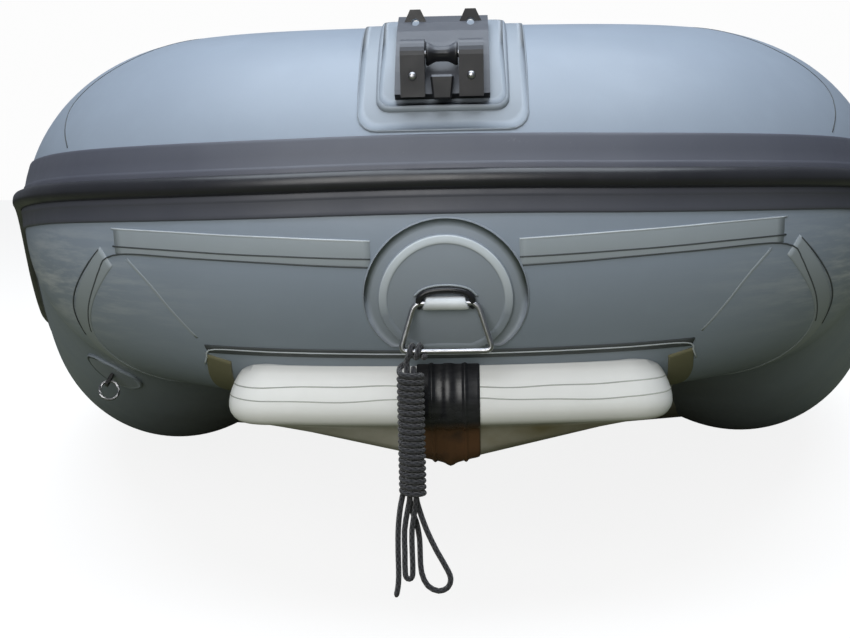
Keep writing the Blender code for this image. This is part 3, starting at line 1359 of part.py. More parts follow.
def strand_route():
    """The four strands and their loops, in the hank's own frame: x to the right seen from ahead, y away
    from the viewer, z up from the winding's top, in millimetres."""
    s = STRAND_SPACING / 2 / MM
    low = -WINDING_PITCH * WINDING_TURNS / MM
    near_top, near_low = -12, low + 12
    return [
        (-s, -s, HANK_HEAD / MM), (-s, -s, 0), (-s, -s, near_top), (-s, -s, near_low), (-s, -s, low - 2),
        (-5.8, -2.0, low - 14), (-9.6, 0, low - 36), (-9.8, 0, low - 60), (-9.8, 0, low - 84),
        (-8.7, 0, low - 88), (-5.9, 0, low - 89.6), (-3.1, 0, low - 88), (-2.0, 0, low - 84),
        (-2.0, 0, low - 60), (-1.8, 0, low - 36), (1.8, -2.6, low - 14), (s, -s, low - 2),
        (s, -s, near_low), (s, -s, near_top), (s, -s, -3), (s, -3.7, 1.4), (s, -2.7, 3.9), (s, 0, 5.0),
        (s, 2.7, 3.9), (s, 3.7, 1.4), (s, s, -3), (s, s, near_top), (s, s, near_low), (s, s, low - 2),
        (5.4, 3.2, low - 12), (13, 1, low - 35), (24, -1, low - 59), (35, 0, low - 80), (38.2, 0.4, low - 90),
        (34.8, 1, low - 99.5), (25, 2, low - 103.5), (13.5, 3.4, low - 98), (7.2, 5, low - 84),
        (6, 7.4, low - 66), (5.6, 9.4, low - 48), (2.6, 8.8, low - 30), (-2.4, 5.4, low - 14),
        (-s, s, low - 3), (-s, s, near_low), (-s, s, near_top), (-s, s, -5),
    ]


def crossing_route():
    """From the last strand's top out to the winding's first turn, in millimetres."""
    s = STRAND_SPACING / 2 / MM
    return [(-s, s, -5), (-s, s, 2.8), (-s - 0.1, s + 1.2, 6.6), (-4.6, 8.2, 8.8), (-7.6, 9.7, 7.8),
            (-10.3, 7.7, 5.9), (-11.3, 4.1, 4.1), (-11.5, 0.5, 2.5), (-10.4, -4.7, 1.0)]


def tail_route():
    """From the winding's end down to the cord's bare end, in millimetres."""
    end = winding_points()[-1] / MM
    low = -WINDING_PITCH * WINDING_TURNS / MM
    return [tuple(end), (-11.8, 1.6, low - 3.2), (-13.6, -0.6, low - 12), (-16.2, 0, low - 34),
            (-16.9, 0, low - 60), (-16.9, 0, low - 86), (-17.9, 0, low - 98), (-20.2, 0, low - 109)]


def hank_points():
    """The whole hank as one line: strands, loops, winding and tail."""
    turns = winding_points()
    strands = smooth_curve([Vector(point) * MM for point in strand_route()], 2)
    crossing = smooth_curve([*(Vector(point) * MM for point in crossing_route()), turns[0]], 3)
    tail = smooth_curve([Vector(point) * MM for point in tail_route()], 3)
    return [*strands, *crossing[1:], *turns[1:], *tail[1:]]


def least_gap(points, radius):
    """The least space between parts of one cord that lie apart along it."""
    places = np.array([tuple(point) for point in points])
    steps = np.linalg.norm(np.diff(places, axis=0), axis=1)
    along = np.concatenate([[0], np.cumsum(steps)])
    fine = np.arange(0, along[-1], radius / 4)
    dense = np.stack([np.interp(fine, along, places[:, axis]) for axis in range(3)], axis=1)
    least = math.inf
    for index in range(len(dense)):
        far = fine > fine[index] + 3 * radius
        if far.any():
            least = min(least, float(np.linalg.norm(dense[far] - dense[index], axis=1).min()))
    return least - 2 * radius


def painter():
    """The painter: turns round the ring's lower bar, the lead below them, and the hank."""
    top = hank_top()
    radius = CORD_DIAMETER / 2
    hank = [top + point for point in hank_points()]
    print(f"painter hank least gap to itself {least_gap(hank, radius) / MM:.2f} mm")
    tube("painter_hank", hank, radius, "cord", CORD_SIDES_RESOLUTION)
    lead = lead_points(top)
    print(f"painter lead least gap to itself {least_gap(lead, radius) / MM:.2f} mm")
    tube("painter_lead", lead, radius, "cord", CORD_SIDES_RESOLUTION)


def lead_points(top):
    """Turns round the bar, then down to the hank's first strand."""
    pivot = hinge_place()
    bar_z = pivot.z - RING_HEIGHT
    turn_radius = RING_WIRE_RADIUS + HITCH_GAP + CORD_DIAMETER / 2
    strand = top + Vector((-STRAND_SPACING / 2, -STRAND_SPACING / 2, HANK_HEAD + TOUCH))
    steps = HITCH_TURNS * POINTS_PER_TURN
    turns = []
    for step in range(steps + 1):
        angle = math.radians(HITCH_START_ANGLE) + 2 * math.pi * step / POINTS_PER_TURN
        x = HITCH_ACROSS + HITCH_PITCH * (HITCH_TURNS - step / POINTS_PER_TURN)
        turns.append(Vector((x, pivot.y + turn_radius * math.cos(angle),
                             bar_z + turn_radius * math.sin(angle))))
    fall = smooth_curve([turns[-1], strand + UP * CORD_DIAMETER, strand], 3)
    return [*turns[:-1], *fall]


def print_extent():
    """The finished boat's corners, for the record."""
    graph = bpy.context.evaluated_depsgraph_get()
    low, high = [math.inf] * 3, [-math.inf] * 3
    for piece in BOAT.objects:
        if piece.name.startswith("painter"):
            continue
        shaped = piece.evaluated_get(graph)
        mesh = shaped.to_mesh()
        for vertex in mesh.vertices:
            spot = piece.matrix_world @ vertex.co
            for axis in range(3):
                low[axis] = min(low[axis], spot[axis])
                high[axis] = max(high[axis], spot[axis])
        shaped.to_mesh_clear()
    print("extent without the painter", [round(value, 4) for value in low],
          [round(value, 4) for value in high])


def main():
    air_chambers()
    cutter = hull_cutter("hull_cutter", SKIN_GAP)
    rail_cutter = hull_cutter("rail_cutter", SKIN_GAP + RAIL_THICKNESS + BENCH_RUNNING_GAP, 3 * TUBE_SIDES)
    cone_caps()
    strakes()
    floor_pieces(cutter)
    transom_pieces(cutter)
    benches(rail_cutter)
    oarlocks(cutter)
    valves(cutter)
    grab_lines(cutter)
    fitting_patches()
    bow_fitting()
    ring_seat()
    ring_strap()
    bow_ring()
    sideways, centre = tow_eye(cutter)
    painter()
    bpy.context.view_layer.update()
    print("ring hinge", [round(value, 5) for value in hinge_place()], "hank top",
          [round(value, 5) for value in hank_top()])
    print("tow ring hinge", [round(value, 5) for value in centre], [round(value, 4) for value in sideways])
    print_extent()


main()
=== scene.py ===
"""The visible inflatable boat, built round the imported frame.

A place on the hull is a distance along the tube's centre line from the bow, plus to port, and an angle
round the tube that is 0 outboard and 90 on top, as in the part's source. Lengths are in metres.
"""
import math

import bmesh
import bpy
import numpy as np
from mathutils import Matrix, Vector


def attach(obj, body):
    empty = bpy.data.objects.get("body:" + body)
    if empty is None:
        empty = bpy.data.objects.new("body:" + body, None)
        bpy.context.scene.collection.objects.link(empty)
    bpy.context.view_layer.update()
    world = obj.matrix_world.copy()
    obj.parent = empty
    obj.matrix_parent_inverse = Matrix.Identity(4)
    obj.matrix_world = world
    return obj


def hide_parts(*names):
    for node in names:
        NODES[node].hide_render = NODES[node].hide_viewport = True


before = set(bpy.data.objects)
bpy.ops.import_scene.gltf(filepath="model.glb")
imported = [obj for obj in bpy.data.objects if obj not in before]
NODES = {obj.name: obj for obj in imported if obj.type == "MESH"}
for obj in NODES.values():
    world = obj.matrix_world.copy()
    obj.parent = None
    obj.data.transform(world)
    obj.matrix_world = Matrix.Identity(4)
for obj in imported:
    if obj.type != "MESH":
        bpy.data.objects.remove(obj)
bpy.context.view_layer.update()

MM = 0.001
UP = np.array((0.0, 0.0, 1.0))
SIDES = (("port", 1), ("starboard", -1))

# The hull's sizes, as in the part's source
HULL_LENGTH = 3300 * MM
HALF_SPACING = 579.6 * MM
TUBE_RADIUS = 215 * MM
BOW_RISE = 265 * MM
BOW_RUN = 1300 * MM
BOW_Y = -1423.410068 * MM
SIDE_AXIS_Z = TUBE_RADIUS
BOW_AXIS_Z = SIDE_AXIS_Z + BOW_RISE
STERN_Y = HULL_LENGTH / 2
CONE_TIP_Y = STERN_Y - 45 * MM
CONE_START_Y = CONE_TIP_Y - 340 * MM
CONE_END_RADIUS = 95 * MM
CONE_TAPER_POWER = 1.25
FRONT_ARC_RADIUS = 900 * MM
FRONT_ARC_TURN = 9.0
CORNER_RADIUS = 250 * MM
CORNER_TURN = 66.0
FLARE_SPREAD_SHARE = 0.5145
LINE_STEP = 4 * MM
FRAME_STEP = 6 * MM
FALL_STEPS = 12
BOW_FALL_SHARES = [(0.0, 0.0), (0.090, 0.010), (0.185, 0.090), (0.346, 0.440), (0.500, 0.700),
                   (0.720, 0.910), (1.0, 1.0)]
STRAKE_ANGLE_BOW = 11.9
STRAKE_ANGLE_SIDE = 0.9
STRAKE_FAIRING = 950 * MM
TRANSOM_Y = STERN_Y - 390 * MM

# The air floor's sizes, as in the part's source
FLOOR_FRONT_DEPTH = 160 * MM
FLOOR_FRONT_WIDTH = 455 * MM
FLOOR_TOP = 125 * MM
FLOOR_CHINE = 36 * MM
FLOOR_KEEL = 9 * MM
FLOOR_CORNER = 45 * MM
FLOOR_CROWN = 6 * MM
FLOOR_CHINE_RISE_SHARE = 0.82
FLOOR_V_BOW = 26 * MM

# The soft floor's side: its edge's inset below, its run to the keel, and (inset, height over the chine)
FLOOR_EDGE = 26 * MM
FLOOR_NOSE_RUN = 50 * MM
FLOOR_NOSE_SPREAD = 26 * MM
FLOOR_NOSE_POINTS = 25
FLOOR_SIDE = np.array([(26, 0), (19.2, 0.9), (13, 3.5), (7.7, 7.7), (3.5, 13), (0.9, 19.2), (0, 26),
                       (0.2, 33), (1.2, 40), (3, 47), (5.6, 54), (9, 61), (13.4, 68), (19, 75), (26, 81)])
FLOOR_SHOULDER = [(33, 0.3), (42, 0.65), (52, 0.9), (62, 1.0)]
GUARD_TOP = 333.5 * MM

# The air valves' seats and the way they face, as in the part's source
VALVES = [("bow", (0.17405, -1.21126, 0.61634), (-0.58245, 0.49899, 0.64169)),
          ("port", (0.47866, 1.09, 0.40483), (-0.46947, 0, 0.88295)),
          ("starboard", (-0.47866, 1.09, 0.40483), (0.46947, 0, 0.88295)),
          ("floor", (0.2, 1.15, 0.12959), (0, 0, 1))]

# The towing ring and the painter, as in the part's source
RING_PATCH_ANGLE = -21.4
HINGE = np.array((0.0, -1.63336, 0.39772))
RING_HEIGHT = 50 * MM
RING_WIRE_RADIUS = 3 * MM
CORD_DIAMETER = 6 * MM
STRAND_SPACING = 6.7 * MM
WINDING_PITCH = 6.55 * MM
WINDING_TURNS = 20
WINDING_RADIUS = 11.7 * MM
POINTS_PER_TURN = 16
WINDING_START_ANGLE = 225
WINDING_SHORT_STEPS = 3
HANK_HEAD = 7 * MM
HANK_ACROSS = -38 * MM
HANK_DROP = 23 * MM
HITCH_TURNS = 2
HITCH_PITCH = 8.3 * MM
HITCH_GAP = 0.5 * MM
HITCH_START_ANGLE = 200
HITCH_ACROSS = -38.5 * MM
TOUCH = 0.3 * MM

# How finely pieces are made, and how deep the sheets' undersides lie in the skin
TUBE_SIDES = 120
TUBE_STEP = 10 * MM
STRAKE_POINTS = 560
ROPE_STEP = 2 * MM
RIBBON_STEP = 6 * MM
RIBBON_SINK = 0.4 * MM
SHEET_SINK = 0.6 * MM
KEEL_POINTS = 240
AXIS_RADIUS = 1e-6
EDGE_ANGLE = 35
MERGE_WITHIN = 0.02 * MM

# The tube's darker underside, grime with painted shade, and its scuffs at the bow's corners: how much, how
# far from the middle and how wide
MOST_GRIME_AND_SHADE, MOST_SCUFF = 0.55, 0.75
CORNER_MIDDLE, CORNER_SPREAD = 0.36, 0.10

# The photograph's view: its place, its turns in radians, and its focal length and width in pixels
CAMERA_PLACE = (0.0281, -2.9764, 0.5556)
CAMERA_YAW, CAMERA_PITCH, CAMERA_ROLL = -0.0370, 0.1288, 0.0201
FOCAL_PIXELS, PICTURE_WIDTH = 1314.7, 850.0

# The lights, each with its place, target, size, power and colour
LIGHTS = [("sky_light", (0.0, -1.6, 4.2), (0, -0.4, 0.3), 5.0, 262, (0.84, 0.92, 1.0)),
          ("front_light", (-0.7, -5.2, 1.7), (0, -1.4, 0.35), 2.6, 84, (1.0, 0.99, 0.96))]

# The surround and the stage's floor, as the camera sees them and as they light the boat
SURROUND_SEEN = 0.98
SURROUND_COLOR, SURROUND_STRENGTH = (0.80, 0.88, 1.0), 0.20
STAGE_REACH = 14.0
STAGE_SEEN, STAGE_GLOW = (0.20, 0.20, 0.20), 0.87
STAGE_BOUNCE = (0.12, 0.125, 0.08)


def unit(vectors):
    """The vectors at length 1."""
    return vectors / np.linalg.norm(vectors, axis=-1, keepdims=True)


def circle(count):
    """Even turns round a circle, in radians."""
    return 2 * np.pi * np.arange(count) / count


def mirrored(half, flip=(-1, 1)):
    """The points of half a section, then their mirror points in reverse."""
    others = [(x * flip[0], y * flip[1]) for x, y in reversed(half)]
    return [*half, *[point for point in others if point not in half]]


def run(points):
    """Each point's distance along its line."""
    return np.concatenate([[0], np.cumsum(np.linalg.norm(np.diff(points, axis=0), axis=1))])


def at_places(points, places):
    """The points of a line at distances along it."""
    along = run(points)
    return np.stack([np.interp(places, along, column) for column in points.T], axis=1)


def ramp(values, start, end):
    """0 up to the start, 1 from the end on, and straight between."""
    return np.clip((values - start) / (end - start), 0, 1)


def spaced(points, step):
    """The same line with points at even steps."""
    points = np.asarray(points, float)
    length = run(points)[-1]
    return at_places(points, np.linspace(0, length, max(2, round(length / step))))


def arc_points(start, heading, radius, turn):
    """Points along an arc in plan, from a start and a heading in degrees off the beam."""
    steps = max(2, round(radius * math.radians(turn) / LINE_STEP))
    centre_x = start[0] - radius * math.sin(math.radians(heading))
    centre_y = start[1] + radius * math.cos(math.radians(heading))
    return [(centre_x + radius * math.sin(math.radians(heading + turn * step / steps)),
             centre_y - radius * math.cos(math.radians(heading + turn * step / steps)))
            for step in range(1, steps + 1)]


def half_plan():
    """The tube's centre line in plan from the bow to the port cone's tip."""
    plan = [(0.0, BOW_Y)]
    plan += arc_points(plan[-1], 0, FRONT_ARC_RADIUS, FRONT_ARC_TURN)
    plan += arc_points(plan[-1], FRONT_ARC_TURN, CORNER_RADIUS, CORNER_TURN)
    heading = FRONT_ARC_TURN + CORNER_TURN
    x, y = plan[-1]
    flare_x = x + (HALF_SPACING - x) * FLARE_SPREAD_SHARE
    plan.append((flare_x, y + (flare_x - x) * math.tan(math.radians(heading))))
    long_radius = (HALF_SPACING - flare_x) / (1 - math.sin(math.radians(heading)))
    plan += arc_points(plan[-1], heading, long_radius, 90 - heading)
    plan.append((HALF_SPACING, CONE_TIP_Y))
    return plan


def fall_line():
    """The bow's fall in fine steps: a cubic through the given shares."""
    table = BOW_FALL_SHARES
    slopes = [0.0]
    slopes += [(after[1] - before[1]) / (after[0] - before[0]) for before, after in zip(table, table[2:])]
    slopes += [0.0]
    result = []
    for (start, low), (end, high), leaving, arriving in zip(table, table[1:], slopes, slopes[1:]):
        width = end - start
        for step in range(FALL_STEPS):
            share = step / FALL_STEPS
            rise = share * share * (3 - 2 * share)
            bend = leaving * share * (1 - share) ** 2 - arriving * share ** 2 * (1 - share)
            result.append((start + width * share, low + (high - low) * rise + width * bend))
    return np.array([*result, table[-1]])


FALL_LINE = fall_line()


def fall_at(y):
    """How far the centre line has fallen at y, as a share of the bow's rise."""
    return np.interp((y - BOW_Y) / BOW_RUN, FALL_LINE[:, 0], FALL_LINE[:, 1])


def centre_line():
    """Points of the tube's centre line, and their distances from the bow, minus to starboard."""
    plan = spaced(half_plan(), LINE_STEP)
    half = np.column_stack([plan, BOW_AXIS_Z - BOW_RISE * fall_at(plan[:, 1])])
    points = np.concatenate([half[:0:-1] * (-1, 1, 1), half])
    along = run(points)
    return points, along - along[-1] / 2


LINE_POINTS, LINE_AT = centre_line()
CONE_TIP = float(LINE_AT[-1])


def at_y(y):
    """The distance along the port side where the centre line reaches y."""
    port = LINE_AT >= 0
    return float(np.interp(y, LINE_POINTS[port][:, 1], LINE_AT[port]))


CONE_START = at_y(CONE_START_Y)
SIDE_VALVE_AT = at_y(STERN_Y - 560 * MM)
OARLOCK_AT = at_y(STERN_Y - 1050 * MM)


def line_point(distance):
    """The point of the tube's centre line at a distance."""
    return np.stack([np.interp(distance, LINE_AT, column) for column in LINE_POINTS.T], axis=-1)


def line_frame(distance):
    """Directions along the tube, outboard and up, at distances along the centre line."""
    inner = np.clip(distance, -CONE_TIP + FRAME_STEP, CONE_TIP - FRAME_STEP)
    along = unit(line_point(inner + FRAME_STEP) - line_point(inner - FRAME_STEP))
    out = unit(np.cross(along, UP))
    return along, out, np.cross(out, along)


def tube_radius(distance):
    """The tube's radius, narrowing along the cones."""
    share = np.clip((np.abs(distance) - CONE_START) / (CONE_TIP - CONE_START), 0, 1)
    return TUBE_RADIUS * (1 - (1 - CONE_END_RADIUS / TUBE_RADIUS) * share ** CONE_TAPER_POWER)


def normal(distance, angle):
    """The skin's outward direction."""
    _, out, up = line_frame(np.asarray(distance, float))
    turn = np.radians(np.asarray(angle, float))[..., None]
    return np.cos(turn) * out + np.sin(turn) * up


def skin(distance, angle, proud=0.0):
    """A point on the tube's skin, or proud of it."""
    values = (np.asarray(value, float) for value in (distance, angle, proud))
    distance, angle, proud = np.broadcast_arrays(*values)
    return line_point(distance) + (tube_radius(distance) + proud)[..., None] * normal(distance, angle)


def stretch(distance, angle):
    """How much longer the skin is than the centre line, where the tube bends."""
    gap = skin(distance + LINE_STEP, angle) - skin(distance - LINE_STEP, angle)
    return np.linalg.norm(gap, axis=-1) / (2 * LINE_STEP)


def strake_angle(distance):
    """The strake's middle, high on the bow and level along the sides."""
    share = np.minimum(1.0, np.abs(distance) / STRAKE_FAIRING)
    return STRAKE_ANGLE_BOW + (STRAKE_ANGLE_SIDE - STRAKE_ANGLE_BOW) * share * share * (3 - 2 * share)


def degrees(length):
    """The angle round the tube that a length along its skin covers."""
    return np.degrees(np.asarray(length, float) / TUBE_RADIUS)


def smooth_curve(points, per_span):
    """Points along a smooth curve through the given ones, several to each span, without overshoot."""
    spots = np.asarray(points, float)
    padded = np.concatenate([[2 * spots[0] - spots[1]], spots, [2 * spots[-1] - spots[-2]]])
    times = np.concatenate([[0], np.cumsum(np.sqrt(np.linalg.norm(np.diff(padded, axis=0), axis=1)))])

    def mix(start, end, start_time, end_time, time):
        share = (time - start_time) / (end_time - start_time)
        return start * (1 - share) + end * share

    result = []
    for index in range(1, len(padded) - 2):
        before, start, end, after = padded[index - 1:index + 3]
        at_before, at_start, at_end, at_after = times[index - 1:index + 3]
        for step in range(per_span):
            time = at_start + (at_end - at_start) * step / per_span
            middle = mix(start, end, at_start, at_end, time)
            early = mix(mix(before, start, at_before, at_start, time), middle, at_before, at_end, time)
            late = mix(middle, mix(end, after, at_end, at_after, time), at_start, at_after, time)
            result.append(mix(early, late, at_start, at_end, time))
    return np.array([*result, spots[-1]])


def linked(name, data):
    """A new object in the scene."""
    made = bpy.data.objects.new(name, data)
    bpy.context.scene.collection.objects.link(made)
    return made


def clean(mesh, merge=None):
    """Merge the points that lie within a distance of each other, and turn the faces outward."""
    cage = bmesh.new()
    cage.from_mesh(mesh)
    if merge:
        bmesh.ops.remove_doubles(cage, verts=cage.verts, dist=merge)
    bmesh.ops.recalc_face_normals(cage, faces=cage.faces)
    cage.to_mesh(mesh)
    cage.free()


def shade(mesh, sharp=None):
    """Smooth shading, with the edges from an angle on left sharp."""
    mesh.shade_smooth()
    if sharp:
        mesh.set_sharp_from_angle(angle=math.radians(sharp))


def dress(piece, slot, body, *nodes):
    """The piece rides on a body and stands for CAD nodes, which it hides; the slot is not used."""
    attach(piece, body)
    if nodes:
        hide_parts(*nodes)


def ring_mesh(name, rings, look, closed=False, sharp=None):
    """A piece with a skin over rings of points, ring after ring; its ends are capped unless it closes."""
    rows, sides = rings.shape[:2]
    index = np.arange(rows * sides).reshape(rows, sides)
    index = np.hstack([index, index[:, :1]])
    if closed:
        index = np.vstack([index, index[:1]])
    quads = np.stack([index[:-1, :-1], index[1:, :-1], index[1:, 1:], index[:-1, 1:]], axis=-1)
    faces = quads.reshape(-1, 4).tolist()
    if not closed:
        faces += [index[0, :-1].tolist(), index[-1, :-1].tolist()]
    mesh = bpy.data.meshes.new(name)
    mesh.from_pydata(np.asarray(rings, float).reshape(-1, 3).tolist(), [], faces)
    clean(mesh)
    shade(mesh, sharp)
    mesh.materials.append(look)
    return linked(name, mesh)


def bevelled(piece, width):
    """Round the piece's edges, wherever its faces meet at an angle."""
    rounding = piece.modifiers.new("rounding", "BEVEL")
    rounding.width = width
    rounding.segments = 3
    rounding.limit_method = "ANGLE"
    rounding.angle_limit = math.radians(EDGE_ANGLE)
    rounding.harden_normals = True


def paint(piece, name, values):
    """Numbers for each point of the mesh, which its material reads."""
    data = piece.data.attributes.new(name, "FLOAT", "POINT")
    data.data.foreach_set("value", np.asarray(values, np.float32))


def path_frames(points, side, closed=False):
    """Two directions across a line at each of its points, carried along it without twist."""
    if closed:
        tangents = unit(np.roll(points, -1, axis=0) - np.roll(points, 1, axis=0))
    else:
        tangents = unit(np.gradient(points, axis=0))
    sides = []
    for tangent in tangents:
        side = side - tangent * np.dot(side, tangent)
        side = side / np.linalg.norm(side)
        sides.append(side)
    sides = np.array(sides)
    return sides, np.cross(tangents, sides)


def rope(name, points, radius, look, side=(0.0, 1.0, 0.0), sides=12, closed=False):
    """A round cord or wire along a line, with rounded ends and a weave that its material can follow."""
    path = np.asarray(points, float) if closed else spaced(points, ROPE_STEP)
    first, second = path_frames(path, np.asarray(side, float), closed)
    turns = circle(sides)
    radii = np.full(len(path), radius)
    if not closed:
        radii[[0, -1]] = 0.5 * radius
        radii[[1, -2]] = 0.9 * radius
    across = np.cos(turns)[None, :, None] * first[:, None] + np.sin(turns)[None, :, None] * second[:, None]
    piece = ring_mesh(name, path[:, None] + radii[:, None, None] * across, look, closed)
    weave = np.stack(np.broadcast_arrays(np.cos(turns), np.sin(turns), run(path)[:, None]), axis=-1)
    data = piece.data.attributes.new("weave", "FLOAT_VECTOR", "POINT")
    data.data.foreach_set("vector", weave.astype(np.float32).ravel())
    return piece


def strip(name, distances, section, look, middle, sharp=None):
    """A closed section of (length up the skin, lift) points in mm, swept along the tube at an angle."""
    section = np.array(section, float) * MM
    angles = (middle + 0 * distances)[:, None] + degrees(section[:, 0])
    return ring_mesh(name, skin(distances[:, None], angles, section[:, 1]), look, sharp=sharp)


def ribbon(name, route, width, lift, look):
    """A thin tape laid on the skin along (distance, angle) points; its width and lift are in mm."""
    width, lift = width * MM, lift * MM
    route = smooth_curve(np.asarray(route, float) * (1, 0.01), 12) * (1, 100)
    metric = spaced(np.column_stack([route[:, 0], np.radians(route[:, 1]) * TUBE_RADIUS]), RIBBON_STEP)
    distance, angle = metric[:, 0], np.degrees(metric[:, 1] / TUBE_RADIUS)
    longer = stretch(distance, angle)
    way = np.gradient(metric, axis=0) * np.column_stack([longer, np.ones(len(longer))])
    across = unit(np.column_stack([-way[:, 1], way[:, 0]]))
    section = mirrored([(-0.5, -RIBBON_SINK), (-0.49, 0.6 * lift), (-0.42, lift), (0, lift)])
    section = np.array([*section, (0, -RIBBON_SINK)])
    offsets = section[:, 0] * width
    distances = distance[:, None] + across[:, :1] * offsets / longer[:, None]
    angles = angle[:, None] + degrees(across[:, 1:] * offsets)
    return ring_mesh(name, skin(distances, angles, section[:, 1]), look)


def patch(name, distance, angle, reach, profile, sides, *nodes):
    """A glued fabric sheet; its profile is (share of the reach, inset from its edge, lift), outwards.

    The reach is a length, or a function that gives one for a direction.
    """
    directions = circle(sides)
    far = np.array([reach(direction) if callable(reach) else reach for direction in directions])
    rings = []
    for share, inset, lift in profile:
        radius = far * share - inset
        around = angle + degrees(radius * np.sin(directions))
        along = distance + radius * np.cos(directions) / stretch(distance, around)
        rings.append(skin(along, around, lift))
    piece = ring_mesh(name, np.array(rings), PATCH)
    dress(piece, "patch_fabric", "hull", *nodes)
    return piece


def patch_profile(lift, rounding, rings, rim=0.0, rim_width=0.0):
    """A sheet's profile from measures in mm: flat on top, rounded at its edge, and closed below."""
    lift, rounding, rim, rim_width = (value * MM for value in (lift, rounding, rim, rim_width))
    profile = [(0.01 + 0.99 * index / rings, rim_width * 1.4 + rounding, lift) for index in range(rings + 1)]
    profile[0] = (0.01, 0, lift)
    profile.append((1, rim_width * 1.25 + rounding + 0.2 * MM, lift))
    if rim:
        profile += [(1, rim_width * share + rounding, lift + rim * rise)
                    for share, rise in ((1.2, 0.25), (1.0, 0.75), (0.75, 1.0), (0.3, 1.0))]
    top = lift + rim
    profile.append((1, rounding + 0.4 * MM, top))
    profile += [(1, rounding * (1 - math.sin(turn)), top - rounding * (1 - math.cos(turn)))
                for turn in (math.radians(15 * step) for step in range(7))]
    low = min(top - rounding, -SHEET_SINK)
    return profile + [(share, 0, low) for share in (1, 0.75, 0.5, 0.25, 0.01)]


def rounded_reach(half_along, half_around, corner):
    """The distance from a rounded rectangle's middle to its edge, in a given direction."""
    def reach(direction):
        across, up = abs(math.cos(direction)), abs(math.sin(direction))
        far = min(half_along / max(across, 1e-9), half_around / max(up, 1e-9))
        x, y = far * across, far * up
        corner_x, corner_y = half_along - corner, half_around - corner
        if x > corner_x and y > corner_y:
            dot = corner_x * across + corner_y * up
            far = dot + math.sqrt(max(0, corner ** 2 - (corner_x ** 2 + corner_y ** 2) + dot ** 2))
        return far
    return reach


def lathe(name, profile, place, axis, look, sides, ribs=(0, 0, 0, 0)):
    """A turned piece from (radius, height) points; ribs are (count, depth, lowest and highest height)."""
    turns = circle(sides)
    depth, low, high = np.array(ribs[1:]) * MM
    rows = []
    for radius, height in np.array(profile) * MM:
        around = np.full(sides, max(radius, AXIS_RADIUS))
        if low <= height <= high and radius > depth:
            around = around - depth * (0.5 - 0.5 * np.cos(ribs[0] * turns))
        rows.append(np.column_stack([around * np.cos(turns), around * np.sin(turns), np.full(sides, height)]))
    turn = np.array(Vector(axis).to_track_quat("Z", "Y").to_matrix())
    return ring_mesh(name, np.array(rows) @ turn.T + np.asarray(place), look)


class Look:
    """A procedural material: colour, roughness and bump grow step by step over one shader."""

    def __init__(self, name, color, roughness, **constants):
        self.material = bpy.data.materials.new(name)
        self.material.use_nodes = True
        self.tree = self.material.node_tree
        self.main = self.tree.nodes["Principled BSDF"]
        for socket, value in constants.items():
            self.main.inputs[socket.replace("_", " ")].default_value = value
        self.color, self.roughness, self.normal = (*color, 1.0), roughness, None
        self.place = self.node("ShaderNodeTexCoord").outputs["Object"]

    def feed(self, socket, value):
        if isinstance(value, bpy.types.NodeSocket):
            self.tree.links.new(value, socket)
        else:
            socket.default_value = value

    def node(self, kind, inputs=(), **settings):
        made = self.tree.nodes.new(kind)
        for key, value in settings.items():
            setattr(made, key, value)
        for key, value in dict(inputs).items():
            self.feed(made.inputs[key], value)
        return made

    def noise(self, scale, detail, stretched=None, rough=0.55):
        place = self.place
        if stretched:
            place = self.node("ShaderNodeMapping", {"Vector": place, "Scale": stretched}).outputs[0]
        inputs = {"Vector": place, "Scale": scale, "Detail": detail, "Roughness": rough}
        return self.node("ShaderNodeTexNoise", inputs).outputs["Fac"]

    def attribute(self, name, output="Fac"):
        return self.node("ShaderNodeAttribute", attribute_name=name).outputs[output]

    def band(self, value, low, high, start=0.0, end=1.0):
        """The value's place between low and high, kept within start and end."""
        return self.node("ShaderNodeMapRange", {0: value, 1: low, 2: high, 3: start, 4: end}).outputs[0]

    def math(self, operation, first, second=0.0):
        return self.node("ShaderNodeMath", {0: first, 1: second}, operation=operation).outputs[0]

    def tint(self, factor, color):
        """Lay a colour over what there is, by a factor."""
        inputs = {0: factor, 6: self.color, 7: (*color, 1.0)}
        self.color = self.node("ShaderNodeMix", inputs, data_type="RGBA").outputs[2]

    def cloud(self, value, low, high, most, color):
        """Lay a colour over, up to a share where the value is high."""
        self.tint(self.band(value, low, high, 0.0, most), color)

    def marks(self, name, value, low, high, color, least=0.0):
        """Lay a colour over where the mesh is painted, broken up by the value."""
        broken = self.band(value, low, high, least, 1.0)
        self.tint(self.math("MULTIPLY", self.attribute(name), broken), color)

    def dull(self, scale, low, high, roughness):
        """Move the roughness towards another one in spots."""
        spots = self.band(self.noise(scale, 4.0), low, high)
        self.roughness = self.node("ShaderNodeMix", {0: spots, 2: self.roughness, 3: roughness}).outputs[0]

    def bump(self, height, strength, depth):
        """Bumps of a depth in mm."""
        inputs = {"Height": height, "Strength": strength, "Distance": depth * MM}
        if self.normal:
            inputs["Normal"] = self.normal
        self.normal = self.node("ShaderNodeBump", inputs).outputs[0]

    def done(self):
        self.feed(self.main.inputs["Base Color"], self.color)
        self.feed(self.main.inputs["Roughness"], self.roughness)
        if self.normal:
            self.feed(self.main.inputs["Normal"], self.normal)
        return self.material


def times(color, share, more=0.0):
    """A lighter or darker shade of a colour."""
    return tuple(value * share + more for value in color)


